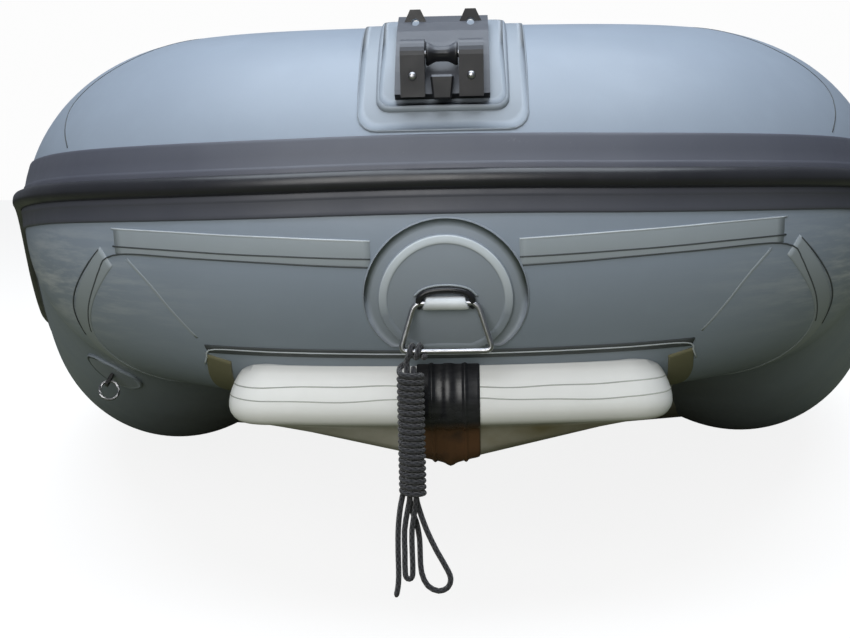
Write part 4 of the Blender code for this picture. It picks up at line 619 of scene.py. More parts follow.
def coated_fabric(name, color, roughness, grime_and_shade=(0.10, 0.085, 0.06), scuff=(0.55, 0.57, 0.58),
                  pale=(0.60, 0.65, 0.70)):
    """Coated fabric: cloudy tone, fine weave showing through the coat, scuffs, a little grime with painted
    shade below, and a pale tint that paints highlight and shade where marked.
    """
    look = Look(name, color, roughness, Specular_IOR_Level=0.38)
    look.cloud(look.noise(3.0, 4.0), 0.35, 0.75, 0.35, times(color, 0.80))
    look.cloud(look.noise(22.0, 5.0), 0.5, 0.8, 0.22, times(color, 1.16))
    look.marks("scuff", look.noise(9.0, 8.0, (1.0, 1.0, 9.0), 0.7), 0.45, 0.62, scuff)
    # Painted light: where a piece is marked pale its colour moves to the pale tint, a painted highlight on
    # the ring disc's rim and painted shade on the floor's top
    look.tint(look.attribute("pale"), pale)
    # Grime with painted shade: darker where the mesh is marked, on the undersides
    look.marks("grime_and_shade", look.noise(6.0, 6.0), 0.2, 0.75, grime_and_shade, 0.35)
    look.dull(14.0, 0.3, 0.8, roughness + 0.14)
    for turn in (0.0, math.radians(90)):
        turned = {"Vector": look.place, "Rotation": (0.6, turn, 0.4)}
        place = look.node("ShaderNodeMapping", turned).outputs[0]
        threads = look.node("ShaderNodeTexWave", {"Vector": place, "Scale": 260.0, "Distortion": 1.0})
        look.bump(threads.outputs["Fac"], 0.10, 0.12)
    look.bump(look.noise(40.0, 4.0), 0.10, 1.0)
    return look.done()


def rubber(name, color, roughness, scuffed=0.35, gloss=0.5):
    """Moulded rubber: cloudy black, dusty patches, fine scratches and mud."""
    look = Look(name, color, roughness, Specular_IOR_Level=gloss)
    dusty, mud = (0.16, 0.165, 0.18), (0.125, 0.060, 0.028)
    between = tuple((own + dust_and_sheen) / 2 for own, dust_and_sheen in zip(color, dusty))
    look.cloud(look.noise(5.0, 5.0), 0.4, 0.8, scuffed, between)
    look.marks("scuff", look.noise(26.0, 8.0, (1.0, 1.0, 6.0), 0.75), 0.42, 0.6, dusty)
    look.cloud(look.noise(60.0, 6.0, None, 0.8), 0.62, 0.78, scuffed, dusty)
    look.marks("mud", look.noise(35.0, 6.0), 0.3, 0.5, mud, 0.45)
    look.dull(18.0, 0.3, 0.8, roughness + 0.2)
    look.bump(look.noise(90.0, 5.0), 0.12, 0.6)
    return look.done()


def moulded(name, color, roughness, grain=420.0, gloss=0.5, dust_and_sheen=None):
    """Moulded plastic: fine grain, slight tone changes, and a paler tint on the faces that look up, dust with
    a painted sheen of the sky.
    """
    look = Look(name, color, roughness, Specular_IOR_Level=gloss)
    look.cloud(look.noise(12.0, 5.0), 0.4, 0.8, 0.4, times(color, 2.2, 0.004))
    # Painted highlight with dust: faces that look up are tinted paler and bluer
    if dust_and_sheen:
        facing = look.node("ShaderNodeSeparateXYZ", {0: look.node("ShaderNodeNewGeometry").outputs["Normal"]})
        look.tint(look.band(facing.outputs[2], 0.05, 0.6), dust_and_sheen)
    look.dull(30.0, 0.3, 0.75, roughness + 0.18)
    look.bump(look.noise(grain, 2.0), 0.16, 0.25)
    return look.done()


def steel(name):
    """Polished wire: bright, with faint drawing marks and duller spots."""
    look = Look(name, (0.40, 0.40, 0.42), 0.28, Metallic=1.0)
    look.cloud(look.noise(70.0, 5.0), 0.5, 0.8, 0.5, (0.24, 0.24, 0.26))
    look.dull(120.0, 0.35, 0.8, 0.45)
    look.bump(look.noise(300.0, 3.0), 0.08, 0.15)
    return look.done()


def braided(name, color, pale):
    """Braided cord: two families of plaits that cross, each crown painted paler as a highlight, and pale
    specks.
    """
    plaits, pitch = 6, 7.5 * MM
    look = Look(name, color, 0.8, Specular_IOR_Level=0.3, Sheen_Weight=0.25, Sheen_Roughness=0.5)
    weave = look.node("ShaderNodeSeparateXYZ", {0: look.attribute("weave", "Vector")}).outputs
    around = look.math("MULTIPLY", look.math("ARCTAN2", weave[1], weave[0]), float(plaits))
    along = look.math("MULTIPLY", weave[2], 2 * math.pi / pitch)
    left, right = (look.math("COSINE", look.math(sign, around, along)) for sign in ("ADD", "SUBTRACT"))
    crown = look.math("MAXIMUM", left, right)
    # Painted highlight: each plait's crown is painted paler, its grooves stay dark
    look.cloud(crown, 0.1, 1.0, 0.75, pale)
    look.cloud(look.noise(160.0, 4.0), 0.55, 0.8, 0.4, times(pale, 1.6))
    look.bump(crown, 0.9, 0.6)
    look.bump(look.noise(900.0, 3.0), 0.35, 0.25)
    return look.done()


def painted_plywood(name):
    """Painted board: even grey paint with brush marks, worn pale along the grain."""
    look = Look(name, (0.30, 0.31, 0.32), 0.45, Specular_IOR_Level=0.5)
    grain = look.noise(7.0, 8.0, (1.0, 14.0, 14.0), 0.7)
    look.cloud(grain, 0.45, 0.7, 0.5, (0.22, 0.23, 0.24))
    look.cloud(look.noise(45.0, 8.0, None, 0.8), 0.63, 0.75, 0.6, (0.40, 0.33, 0.24))
    look.dull(9.0, 0.3, 0.8, 0.62)
    look.bump(grain, 0.3, 0.6)
    return look.done()


# Materials, one for each finish of the record, and the scene's own for tapes, seams and webbing
TUBE = coated_fabric("tube_fabric", (0.258, 0.300, 0.362), 0.36)
PATCH = coated_fabric("patch_fabric", (0.266, 0.30, 0.345), 0.38)
# The floor's pale tint is a darker grey, painted shade on the top that faces up; its grime tint is partly
# painted shade below
MAT = coated_fabric("floor_fabric", (0.92, 0.92, 0.91), 0.45, grime_and_shade=(0.16, 0.13, 0.05),
                    scuff=(0.93, 0.93, 0.93), pale=(0.37, 0.39, 0.41))
BAND = rubber("strake_rubber", (0.066, 0.069, 0.090), 0.42)
BEAD = rubber("bead_rubber", (0.014, 0.014, 0.018), 0.28, scuffed=0.12)
GUARD = rubber("black_rubber", (0.010, 0.010, 0.012), 0.22, scuffed=0.06, gloss=0.4)
# The bluish tint on the faces that look up is a painted sky sheen, with dust
PLASTIC = moulded("black_plastic", (0.010, 0.010, 0.012), 0.30, gloss=0.3, dust_and_sheen=(0.085, 0.09, 0.105))
STEEL = steel("stainless")
CORD = braided("cord", (0.012, 0.012, 0.014), (0.050, 0.050, 0.058))
PLYWOOD = painted_plywood("plywood")
GLUE = moulded("seam_glue", (0.055, 0.062, 0.066), 0.6)
TAPE = coated_fabric("seam_tape", (0.31, 0.345, 0.375), 0.34)
WEBBING = moulded("strap_webbing", (0.50, 0.52, 0.54), 0.32, 700.0)
THREAD = moulded("floor_thread", (0.40, 0.41, 0.38), 0.7)
# Pale edges: a real glue line at the floor joint, and painted highlights along the seam tapes and the top of
# the ring's patch
PALE = moulded("pale_edge", (0.52, 0.56, 0.60), 0.5)
OLIVE = coated_fabric("olive_fabric", (0.17, 0.16, 0.095), 0.5)


def camera():
    """The photograph's view: low in front of the bow, and looking a little down at it."""
    level = math.cos(CAMERA_PITCH)
    forward = Vector((math.sin(CAMERA_YAW) * level, math.cos(CAMERA_YAW) * level, -math.sin(CAMERA_PITCH)))
    right = Vector((math.cos(CAMERA_YAW), -math.sin(CAMERA_YAW), 0))
    above = right.cross(forward)
    turned_right = right * math.cos(CAMERA_ROLL) - above * math.sin(CAMERA_ROLL)
    turned_above = above * math.cos(CAMERA_ROLL) + right * math.sin(CAMERA_ROLL)
    data = bpy.data.cameras.new("photo_view")
    data.sensor_fit = "HORIZONTAL"
    data.sensor_width = 36
    data.lens = data.sensor_width * FOCAL_PIXELS / PICTURE_WIDTH
    data.clip_start, data.clip_end = 0.05, 60
    made = linked("photo_view", data)
    axes = Matrix((turned_right, turned_above, -forward)).transposed()
    made.matrix_world = Matrix.Translation(CAMERA_PLACE) @ axes.to_4x4()
    bpy.context.scene.camera = made


def winding_points():
    """The painter's winding, from its top down."""
    steps = np.arange(WINDING_TURNS * POINTS_PER_TURN - WINDING_SHORT_STEPS + 1)
    turns = math.radians(WINDING_START_ANGLE) + 2 * np.pi * steps / POINTS_PER_TURN
    return np.column_stack([WINDING_RADIUS * np.cos(turns), WINDING_RADIUS * np.sin(turns),
                            -WINDING_PITCH * steps / POINTS_PER_TURN])


def painter_path():
    """The painter as one line: turns round the ring's bar, the strands and loops, the winding, the tail.

    The hank's points are in mm from its top, and those that hang give their drop below the winding.
    """
    low = -WINDING_PITCH * WINDING_TURNS / MM
    off = STRAND_SPACING / 2 / MM

    def hung(*points):
        return [(x, y, low - drop) for x, y, drop in points]

    strands = [
        (-off, -off, HANK_HEAD / MM), (-off, -off, 0), (-off, -off, -12),
        *hung((-off, -off, -12), (-off, -off, 2), (-5.8, -2.0, 14), (-9.6, 0, 36), (-9.8, 0, 60),
              (-9.8, 0, 84), (-8.7, 0, 88), (-5.9, 0, 89.6), (-3.1, 0, 88), (-2.0, 0, 84), (-2.0, 0, 60),
              (-1.8, 0, 36), (1.8, -2.6, 14), (off, -off, 2), (off, -off, -12)),
        (off, -off, -12), (off, -off, -3), (off, -3.7, 1.4), (off, -2.7, 3.9), (off, 0, 5.0), (off, 2.7, 3.9),
        (off, 3.7, 1.4), (off, off, -3), (off, off, -12),
        *hung((off, off, -12), (off, off, 2), (5.4, 3.2, 12), (13, 1, 35), (24, -1, 59), (35, 0, 80),
              (38.2, 0.4, 90), (34.8, 1, 99.5), (25, 2, 103.5), (13.5, 3.4, 98), (7.2, 5, 84), (6, 7.4, 66),
              (5.6, 9.4, 48), (2.6, 8.8, 30), (-2.4, 5.4, 14), (-off, off, 3), (-off, off, -12)),
        (-off, off, -12), (-off, off, -5),
    ]
    crossing = [(-off, off, -5), (-off, off, 2.8), (-off - 0.1, off + 1.2, 6.6), (-4.6, 8.2, 8.8),
                (-7.6, 9.7, 7.8), (-10.3, 7.7, 5.9), (-11.3, 4.1, 4.1), (-11.5, 0.5, 2.5), (-10.4, -4.7, 1.0)]
    turns = winding_points()
    tail = [tuple(turns[-1] / MM), *hung((-11.8, 1.6, 3.2), (-13.6, -0.6, 12), (-16.2, 0, 34), (-16.9, 0, 60),
                                         (-16.9, 0, 86), (-17.9, 0, 98), (-20.2, 0, 109))]
    crossing = np.concatenate([np.array(crossing) * MM, turns[:1]])
    hank = [smooth_curve(np.array(strands) * MM, 2), smooth_curve(crossing, 3)[1:], turns[1:],
            smooth_curve(np.array(tail) * MM, 3)[1:]]
    top = np.array((HANK_ACROSS, HINGE[1], HINGE[2] - RING_HEIGHT - HANK_DROP))
    hank = top + np.concatenate(hank)

    turn_radius = RING_WIRE_RADIUS + HITCH_GAP + CORD_DIAMETER / 2
    steps = np.arange(HITCH_TURNS * POINTS_PER_TURN + 1)
    angles = math.radians(HITCH_START_ANGLE) + 2 * np.pi * steps / POINTS_PER_TURN
    hitch = np.column_stack([HITCH_ACROSS + HITCH_PITCH * (HITCH_TURNS - steps / POINTS_PER_TURN),
                             HINGE[1] + turn_radius * np.cos(angles),
                             HINGE[2] - RING_HEIGHT + turn_radius * np.sin(angles)])
    strand = hank[0] + UP * TOUCH
    fall = smooth_curve([hitch[-1], strand + UP * CORD_DIAMETER, strand], 3)
    return np.concatenate([hitch[:-1], fall[:-1], hank[1:]])


def painter():
    """The painter's cord, from the ring's bar to its hanging end."""
    path = painter_path()
    cord = rope("painter_cord", path, CORD_DIAMETER / 2, CORD)
    dress(cord, "cord", "painter", "painter_hank", "painter_lead")
    tuple(path[0])


def hull_skin():
    """One inflated skin over the three chambers, darker below with grime and painted shade, and scuffed at
    the bow's corners.
    """
    distances = np.arange(-CONE_TIP, CONE_TIP + TUBE_STEP / 2, TUBE_STEP)
    distances[-1] = CONE_TIP
    angles = 360 * np.arange(TUBE_SIDES) / TUBE_SIDES
    tube = ring_mesh("tube_skin", skin(distances[:, None], angles, 0), TUBE)
    around = (angles + 180) % 360 - 180
    below = ramp(-around, 45, 105) * ramp(around, -175, -115)
    ahead = ramp(-np.abs(around + 20), -26, 0)
    corner = np.exp(-((np.abs(distances) - CORNER_MIDDLE) / CORNER_SPREAD) ** 2)
    # Painted shade with grime: the tube's lower half is darkened
    paint(tube, "grime_and_shade", np.tile(MOST_GRIME_AND_SHADE * below, len(distances)))
    paint(tube, "scuff", (MOST_SCUFF * corner[:, None] * ahead).ravel())
    dress(tube, "tube_fabric", "hull", "bow_chamber", "port_chamber", "starboard_chamber", "port_baffle",
          "starboard_baffle")


def strakes():
    """The flat rubber band with its stepped middle, and the D-shaped bead on it."""
    distances = np.linspace(-CONE_START, CONE_START, STRAKE_POINTS)
    middle = strake_angle(distances)
    band = [(48.4, -0.5), (48.4, 1.0), (47.8, 2.0), (46.4, 2.5), (44, 2.6), (30, 2.7),
            *mirrored([(18.5, 2.7), (17.5, 3.0), (16.6, 3.5), (15, 3.7), (12, 3.6), (0, 3.4)]),
            (-30, 2.6), (-33, 2.5), (-34.4, 2.0), (-34.9, 1.0), (-34.9, -0.5)]
    band += [(offset, -0.5) for offset in (-24, -12, 0, 12, 24, 36)]
    piece = strip("strake_sheet", distances, band, BAND, middle)
    dress(piece, "strake_rubber", "hull", "strake_band")
    bead = mirrored([(10.4, 3.4), (10.5, 5.0), (10.1, 7.6), (9.2, 10.3), (7.6, 12.8), (5.4, 14.4),
                     (2.8, 15.2), (0, 15.4)])
    piece = strip("strake_bead", distances, [*bead, (-5, 3.2), (0, 3.2), (5, 3.2)], BEAD, middle)
    dress(piece, "bead_rubber", "hull", "rubbing_strake")


def cone_caps():
    """The domed rubber caps on the stern cones."""
    profile = [(0.0, 45.0), (22, 44.6), (44, 43), (62, 39.6), (78, 34), (88.5, 27.5), (95.5, 19.5),
               (98.4, 12), (99, 6), (99, 0.6), (97.5, 0.3), (0.0, 0.3)]
    for name, side in SIDES:
        cap = lathe(f"{name}_end_cap", profile, line_point(side * CONE_TIP), (0, 1, 0), GUARD, 72)
        dress(cap, "black_rubber", "hull", f"{name}_cone_cap")


def floor_front():
    """The radius of the nose's arc, half its width between the rounded corners, and its depth."""
    radius = FRONT_ARC_RADIUS + FLOOR_FRONT_DEPTH
    half = FLOOR_FRONT_WIDTH / 2 - FLOOR_CORNER
    return radius, half, radius - math.sqrt(radius ** 2 - half ** 2)


def floor_half_width(y):
    """The floor's half width aft of its front corners, out to the tubes' middles."""
    aft = np.clip((y - BOW_Y) / BOW_RUN, 0, 1)
    return FLOOR_FRONT_WIDTH / 2 + (HALF_SPACING - FLOOR_FRONT_WIDTH / 2) * aft * (2 - aft)


def floor_edge():
    """The floor's port edge in plan from its nose aft: x, y and the way it faces, 0 ahead and 90 to port."""
    radius, half, depth = floor_front()
    front = BOW_Y - FLOOR_FRONT_DEPTH
    corner_y = front + depth + FLOOR_CORNER
    edge = [(wide, front + radius - math.sqrt(radius ** 2 - wide ** 2), math.asin(wide / radius))
            for wide in np.linspace(0, half, FLOOR_NOSE_POINTS)]
    edge += [(half + FLOOR_CORNER * math.sin(turn), corner_y - FLOOR_CORNER * math.cos(turn), turn)
             for turn in np.radians(np.arange(14, 91, 7.6))]
    for y in np.linspace(corner_y + 12 * MM, TRANSOM_Y - TOUCH, 120):
        widening = (floor_half_width(y + MM) - floor_half_width(y - MM)) / (2 * MM)
        edge.append((float(floor_half_width(y)), y, math.pi / 2 - math.atan(widening)))
    return np.array(edge)


def floor_rows():
    """For each place along the floor's edge: the edge's point and way, its top, chine and keel heights."""
    x, y, way = floor_edge().T
    rise = np.where(y > BOW_Y, [line_point(at_y(place))[2] - SIDE_AXIS_Z for place in y], BOW_RISE)
    top, chine = FLOOR_TOP + rise, FLOOR_CHINE + rise * FLOOR_CHINE_RISE_SHARE
    behind = y + FLOOR_EDGE * np.cos(way)
    nose = np.clip((behind - (BOW_Y - FLOOR_FRONT_DEPTH + FLOOR_EDGE)) / FLOOR_NOSE_RUN, 0, 1)
    nose = nose * nose * (3 - 2 * nose)
    keel = chine - (FLOOR_CHINE - FLOOR_KEEL + FLOOR_V_BOW * rise / BOW_RISE) * nose
    return x, y, way, top, chine, keel


def floor_side(top, chine):
    """The floor's side from its underside up, as insets from the edge and heights."""
    inset, height = FLOOR_SIDE.T * MM
    lean = height[-1]
    crown = np.array(FLOOR_SHOULDER) * (MM, 1)
    spare = top - chine - lean
    across, rise = crown.T
    return np.concatenate([inset, across]), np.concatenate([chine + height, chine + lean + spare * rise])


def floor_spread(x, y, top, chine, height):
    """How far the nose's ends lean out below their tops, fading towards the middle and aft."""
    across = np.clip(2 * x / FLOOR_FRONT_WIDTH, 0, 1) ** 3
    ahead = np.clip((BOW_Y + 40 * MM - y) / (90 * MM), 0, 1)
    return FLOOR_NOSE_SPREAD * across * ahead * np.clip((top - height) / (top - chine), 0, 1)


def floor():
    """The air floor: a cushion with a leaning, rounded side all round its nose, cut clear of the tubes."""
    rings = []
    shares = np.array((0.9, 0.7, 0.45, 0.2))
    for x, y, way, top, chine, keel in zip(*floor_rows()):
        inset, height = floor_side(top, chine)
        side = np.column_stack([x - inset * math.sin(way), y + inset * math.cos(way), height])
        side[:, 0] = np.maximum(side[:, 0] + floor_spread(x, y, top, chine, height), 0)
        low = [(side[0, 0] * share, side[0, 1], keel + (chine - keel) * share)
               for share in (0, *shares[::-1])]
        high = [(side[-1, 0] * share, side[-1, 1], top + FLOOR_CROWN * (1 - share ** 2))
                for share in (*shares, 0)]
        port = np.concatenate([low, side, high])
        rings.append(np.concatenate([port, port[1:-1][::-1] * (-1, 1, 1)]))
    cushion = ring_mesh("floor_cushion", np.array(rings), MAT)
    clean(cushion.data, MERGE_WITHIN)
    distances = np.arange(-CONE_TIP, CONE_TIP, 2 * TUBE_STEP)
    angles = 360 * np.arange(72) / 72
    cutter = ring_mesh("floor_clearance", skin(distances[:, None], angles, TOUCH), TUBE)
    cut = cushion.modifiers.new("clearance", "BOOLEAN")
    cut.operation, cut.object, cut.solver = "DIFFERENCE", cutter, "EXACT"
    graph = bpy.context.evaluated_depsgraph_get()
    made = bpy.data.meshes.new_from_object(cushion.evaluated_get(graph))
    cushion.modifiers.clear()
    cushion.data = made
    bpy.data.objects.remove(cutter, do_unlink=True)
    made.materials.clear()
    made.materials.append(MAT)
    made.polygons.foreach_set("material_index", [0] * len(made.polygons))
    shade(made, 50)
    places = np.array([tuple(vertex.co) for vertex in made.vertices])
    lift = np.array([vertex.normal.z for vertex in made.vertices])
    _, y, _, _, chines, _ = floor_rows()
    chine = np.interp(places[:, 1], y, chines)
    # Grime with painted shade: the underside below the chine is darkened
    paint(cushion, "grime_and_shade", 0.03 + 0.95 * ramp(chine - places[:, 2], -7 * MM, 5 * MM))
    paint(cushion, "scuff", np.full(len(places), 0.25))
    # Painted shade: the top that faces up takes the darker pale tint
    paint(cushion, "pale", ramp(lift, 0.5, 0.85) * (places[:, 2] > chine + 50 * MM))
    dress(cushion, "floor_fabric", "hull", "air_floor")
    floor_seams()


def floor_seams():
    """Two thin wavy seams along the floor's front, each a shallow thread on its side."""
    x, y, way, top, chine, _ = floor_rows()
    reach = np.searchsorted(y, BOW_Y + 60 * MM)
    thread = mirrored([(-0.9, -0.3), (-0.45, 0.35)])
    for name, level, swing in (("upper", 47, 1.2), ("lower", 33, 2.2)):
        rows = []
        for index in [*range(reach, 0, -1), *range(reach + 1)]:
            side = 1 if len(rows) >= reach else -1
            inset, height = floor_side(top[index], chine[index])
            wave = swing * math.sin(21 * side * x[index] + level) + 0.6 * math.sin(70 * side * x[index])
            ring = []
            for offset, lift in thread:
                at = chine[index] + (level + wave + offset) * MM
                depth = np.interp(at, height, inset) - lift * MM
                spread = floor_spread(x[index], y[index], top[index], chine[index], at)
                ring.append((side * (x[index] - depth * math.sin(way[index]) + spread),
                             y[index] + depth * math.cos(way[index]), at))
            rows.append(ring)
        dress(ring_mesh(f"floor_seam_{name}", np.array(rows), THREAD), "floor_fabric", "hull")


def keel_line(x, edge):
    """The floor's surface at x, down its front, round its chine and aft along the keel."""
    places, y, way, top, chine, keel = edge
    nose = slice(FLOOR_NOSE_POINTS)
    own_y, own_way, own_chine = (float(np.interp(abs(x), places[nose], row[nose])) for row in (y, way, chine))
    inset, height = floor_side(float(top[0]), own_chine)
    down = own_y + inset * math.cos(own_way)
    shown = height < GUARD_TOP
    front = np.column_stack([down, height])[shown][::-1]
    inner = places - FLOOR_EDGE * np.sin(way)
    behind = y + FLOOR_EDGE * np.cos(way)
    under = np.column_stack([behind, keel + (chine - keel) * abs(x) / np.maximum(inner, MM)])
    under = under[inner > abs(x) + 0.5 * MM]
    line = np.vstack([[np.interp(GUARD_TOP, height, down), GUARD_TOP], front, under])
    return at_places(line, np.linspace(0, run(line)[-1] ** 0.5, KEEL_POINTS) ** 2)


def keel_guard():
    """The black rubber guard down the floor's nose and along its keel, with two ridges and a middle rib."""
    section = mirrored([(-34, -0.3), (-34, 1.6), (-32.8, 2.8), (-31, 3.1), (-22, 3.2), (-20.6, 3.6),
                        (-19.4, 5.0), (-18, 5.7), (-16.6, 5.0), (-15.4, 3.6), (-14, 3.2), (-8, 3.2),
                        (-5.5, 3.7), (-3.5, 4.5), (0, 4.8)])
    section += [(x, -0.3) for x in (22, 11, 0, -11, -22)]
    edge = floor_rows()
    columns = []
    for x, lift in section:
        line = keel_line(x * MM, edge)
        way = unit(np.gradient(line, axis=0))
        outward = np.column_stack([way[:, 1], -way[:, 0]])
        columns.append(np.column_stack([np.full(len(line), x * MM), line + outward * lift * MM]))
    rings = np.transpose(np.array(columns), (1, 0, 2))
    guard = ring_mesh("keel_strip", rings, GUARD)
    height = rings[..., 2].ravel()
    aft = rings[..., 1].ravel() - (BOW_Y - FLOOR_FRONT_DEPTH)
    low = ramp(edge[4][0] - height, -8 * MM, 8 * MM)
    paint(guard, "scuff", np.full(len(height), 0.08))
    paint(guard, "mud", low * ramp(aft, -4 * MM, 8 * MM))
    dress(guard, "black_rubber", "hull", "keel_guard")


def apron():
    """The fabric strip that joins the floor's nose to the tube, its pale glued edge and its end flaps."""
    line = [(spot, -41.6 + 30 * spot ** 2) for spot in np.linspace(-0.205, 0.205, 9)]
    dress(ribbon("floor_joint", line, 13, 1.4, GLUE), "patch_fabric", "hull", "floor_apron")
    edge = [(-0.216, -48), (-0.209, -44), (-0.204, -40.8), (-0.196, -40.1)]
    edge += [(spot, -41.2 + 30 * spot ** 2) for spot in (-0.15, -0.08, 0)]
    dress(ribbon("floor_joint_edge", mirrored(edge), 1.7, 1.9, PALE), "patch_fabric", "hull")
    flap = [(0.200, -44.5), (0.207, -51), (0.217, -59), (0.230, -70), (0.246, -84)]
    for name, side in SIDES:
        piece = ribbon(f"floor_flap_{name}", [(side * at, angle) for at, angle in flap], 30, 1.2, OLIVE)
        dress(piece, "patch_fabric", "hull")


def seams():
    """The glued seams of the bow's panels: tapes with pale edges painted as highlights, and thin dark lines
    where panels lap.
    """
    lines = [
        ("seam_tape", 29, 0.7, TAPE,
         [(0.062, -8.2), (0.120, -7.4), (0.165, -6.4), (0.210, -5.6), (0.252, -4.9)]),
        ("corner_tape", 27, 0.7, TAPE,
         [(0.262, -9.5), (0.280, -16), (0.303, -24), (0.330, -34), (0.352, -46), (0.366, -62), (0.372, -85),
          (0.372, -115), (0.366, -150)]),
        ("lap_upper", 1.8, 1.0, GLUE,
         [(0.062, -9.6), (0.112, -9.0), (0.160, -8.2), (0.208, -7.1), (0.254, -6.4)]),
        ("lap_lower", 1.8, 1.0, GLUE,
         [(0.062, -12.0), (0.124, -11.0), (0.190, -9.4), (0.246, -8.6), (0.262, -10), (0.272, -14),
          (0.283, -19), (0.306, -28), (0.332, -38)]),
        ("lap_outer", 1.5, 1.0, GLUE, [(0.268, -7.5), (0.290, -14.5), (0.332, -28.5), (0.354, -40)]),
        # The pale edge is a painted highlight along the seam tape's upper edge
        ("pale_edge", 1.6, 1.0, PALE,
         [(0.062, -4.6), (0.120, -3.7), (0.162, -2.9), (0.206, -1.9), (0.254, -1.2)]),
        ("lap_over", 1.6, 0.5, GLUE,
         [(0.312, 23.5), (0.330, 31), (0.345, 41), (0.340, 50), (0.322, 62), (0.300, 80), (0.286, 100),
          (0.280, 125), (0.282, 160)]),
        ("panel_mark", 3.5, 0.25, TAPE, [(0.244, -10), (0.230, -17.5), (0.218, -27), (0.208, -36)]),
    ]
    for name, side in SIDES:
        for kind, width, lift, look, route in lines:
            route = [(side * distance, angle) for distance, angle in route]
            dress(ribbon(f"{kind}_{name}", route, width, lift, look), "tube_fabric", "hull")
    # A painted highlight along the top edge of the ring's patch
    top_highlight = [(-0.034, -1.3), (-0.01, -1.0), (0.020, -1.0)]
    dress(ribbon("ring_patch_top_highlight", top_highlight, 2.2, 1.0, PALE), "patch_fabric", "hull")


def ring_strap():
    """The pale webbing rolled round the ring's top bar, the seat's black lip arched over it, partly a painted
    shadow in the pocket's opening, and a lighter edge above the lip as a painted highlight.
    """
    lean = math.radians(RING_PATCH_ANGLE)
    out = np.array((0.0, -math.cos(lean), math.sin(lean)))
    up = np.array((0.0, out[2], -out[1]))
    turns = circle(40)
    half = (22.3 - 1.8 * np.sin(turns)) * MM
    profile = [(-1, 4.6), (-0.99, 6.0), (-0.96, 6.7), (-0.9, 7.0), (-0.6, 7.2), (-0.3, 7.1), (0, 7.2)]
    rings = []
    for share, radius in mirrored(profile):
        ring = HINGE + radius * MM * (np.cos(turns)[:, None] * out + np.sin(turns)[:, None] * up)
        ring[:, 0] += share * half
        rings.append(ring)
    dress(ring_mesh("ring_strap_roll", np.array(rings), WEBBING), "black_rubber", "hull", "ring_strap")

    # The black lip is a rubber edge and also a painted shadow inside the pocket's opening
    lip = [(-27.5, -1, -7), (-27.5, -0.5, 0), (-26.5, -1, 6.5), (-20, -2, 11), (-10, -2, 13.4), (1, -2, 14.0),
           (12, -2, 13.2), (20.5, -2, 10.6), (26.5, -1, 6), (27.5, -0.5, 0), (27.5, -1, -7)]
    # The thin edge above it, in the lighter tape colour, is a painted highlight on the pocket's top edge
    edge = [(-33, -4, 6), (-24, -4, 14), (-11, -4, 17.9), (1, -4, 18.6), (13, -4, 17.5), (25, -4, 13.4),
            (33, -4, 5)]
    for name, route, radius, look in (("ring_seat_lip", lip, 3.7, GUARD),
                                      ("ring_seat_edge", edge, 1.2, TAPE)):
        line = smooth_curve(np.array(route) * MM @ np.array([(1, 0, 0), out, up]), 8)
        dress(rope(name, HINGE + line, radius * MM, look, side=out, sides=14), "black_rubber", "hull")


def fitting_patches():
    """The fabric patch under the bow fitting, and the raised pad on it."""
    for name, node, low, high, half_width, corner, lift, rounding in (
            ("bow_patch_sheet", "fitting_patch", 25.6, 88.0, 89, 20, 1.9, 1.4),
            ("bow_pad", "fitting_pad", 31.5, 82.0, 69, 14, 6.7, 4.5)):
        reach = rounded_reach(half_width * MM, math.radians(high - low) * TUBE_RADIUS / 2, corner * MM)
        patch(name, 0, (low + high) / 2, reach, patch_profile(lift, rounding, 12), 120, node)


def ring_seat():
    """The towing ring's round patch and raised disc, both cut off straight below."""
    limit = math.radians(RING_PATCH_ANGLE + 38.3) * TUBE_RADIUS
    sides = 144

    def trimmed(radius):
        def reach(direction):
            down = -math.sin(direction)
            return min(radius, limit / down) if down > 0 else radius
        return reach

    patch("ring_patch_sheet", 0, RING_PATCH_ANGLE, trimmed(87 * MM), patch_profile(1.9, 1.4, 10), sides,
          "ring_patch")
    profile = patch_profile(5.6, 2.4, 10, rim=1.4, rim_width=6)
    disc = patch("ring_disc_raised", 0, RING_PATCH_ANGLE, trimmed(70 * MM), profile, sides, "ring_disc")
    # Painted highlight: the rim's upper half is painted paler, where the rounded rim catches the light from
    # above
    upper = np.clip(0.25 + np.sin(circle(sides)), 0, 1) ** 0.7
    rim = np.array([1.0 if lift > 6.6 * MM else 0.0 for _, _, lift in profile])
    paint(disc, "pale", (rim[:, None] * upper).ravel())


def bow_finish():
    """The bow fitting's small parts: domed screws, and a smooth waisted roller."""
    middle = np.array((0.0, BOW_Y, BOW_AXIS_Z))
    dome = [(0, 2.5), (1.5, 2.4), (2.8, 2.0), (3.8, 1.2), (4.4, 0.4), (4.4, 0.0), (0, 0.0)]
    for name, side in SIDES:
        head = middle + np.array((side * 30, -197.3, 149)) * MM
        screw = lathe(f"screw_head_{name}", dome, head, (0, -1, 0), STEEL, 32)
        dress(screw, "stainless", "hull", f"cheek_screw_{name}")
    waist = mirrored([(4.5, 16.4), (10.6, 16.4), (11.7, 15.9), (12, 14.8), (11.7, 13.4), (10.4, 11),
                      (9.0, 8.6), (8.2, 6), (8.0, 3), (8.0, 0)], (1, -1))
    place = middle + np.array((0, -178, 172)) * MM
    roller = lathe("keel_roller", waist, place, (1, 0, 0), PLASTIC, 56, (14, 0.35, -7, 7))
    dress(roller, "black_plastic", "bow_roller", "bow_roller")


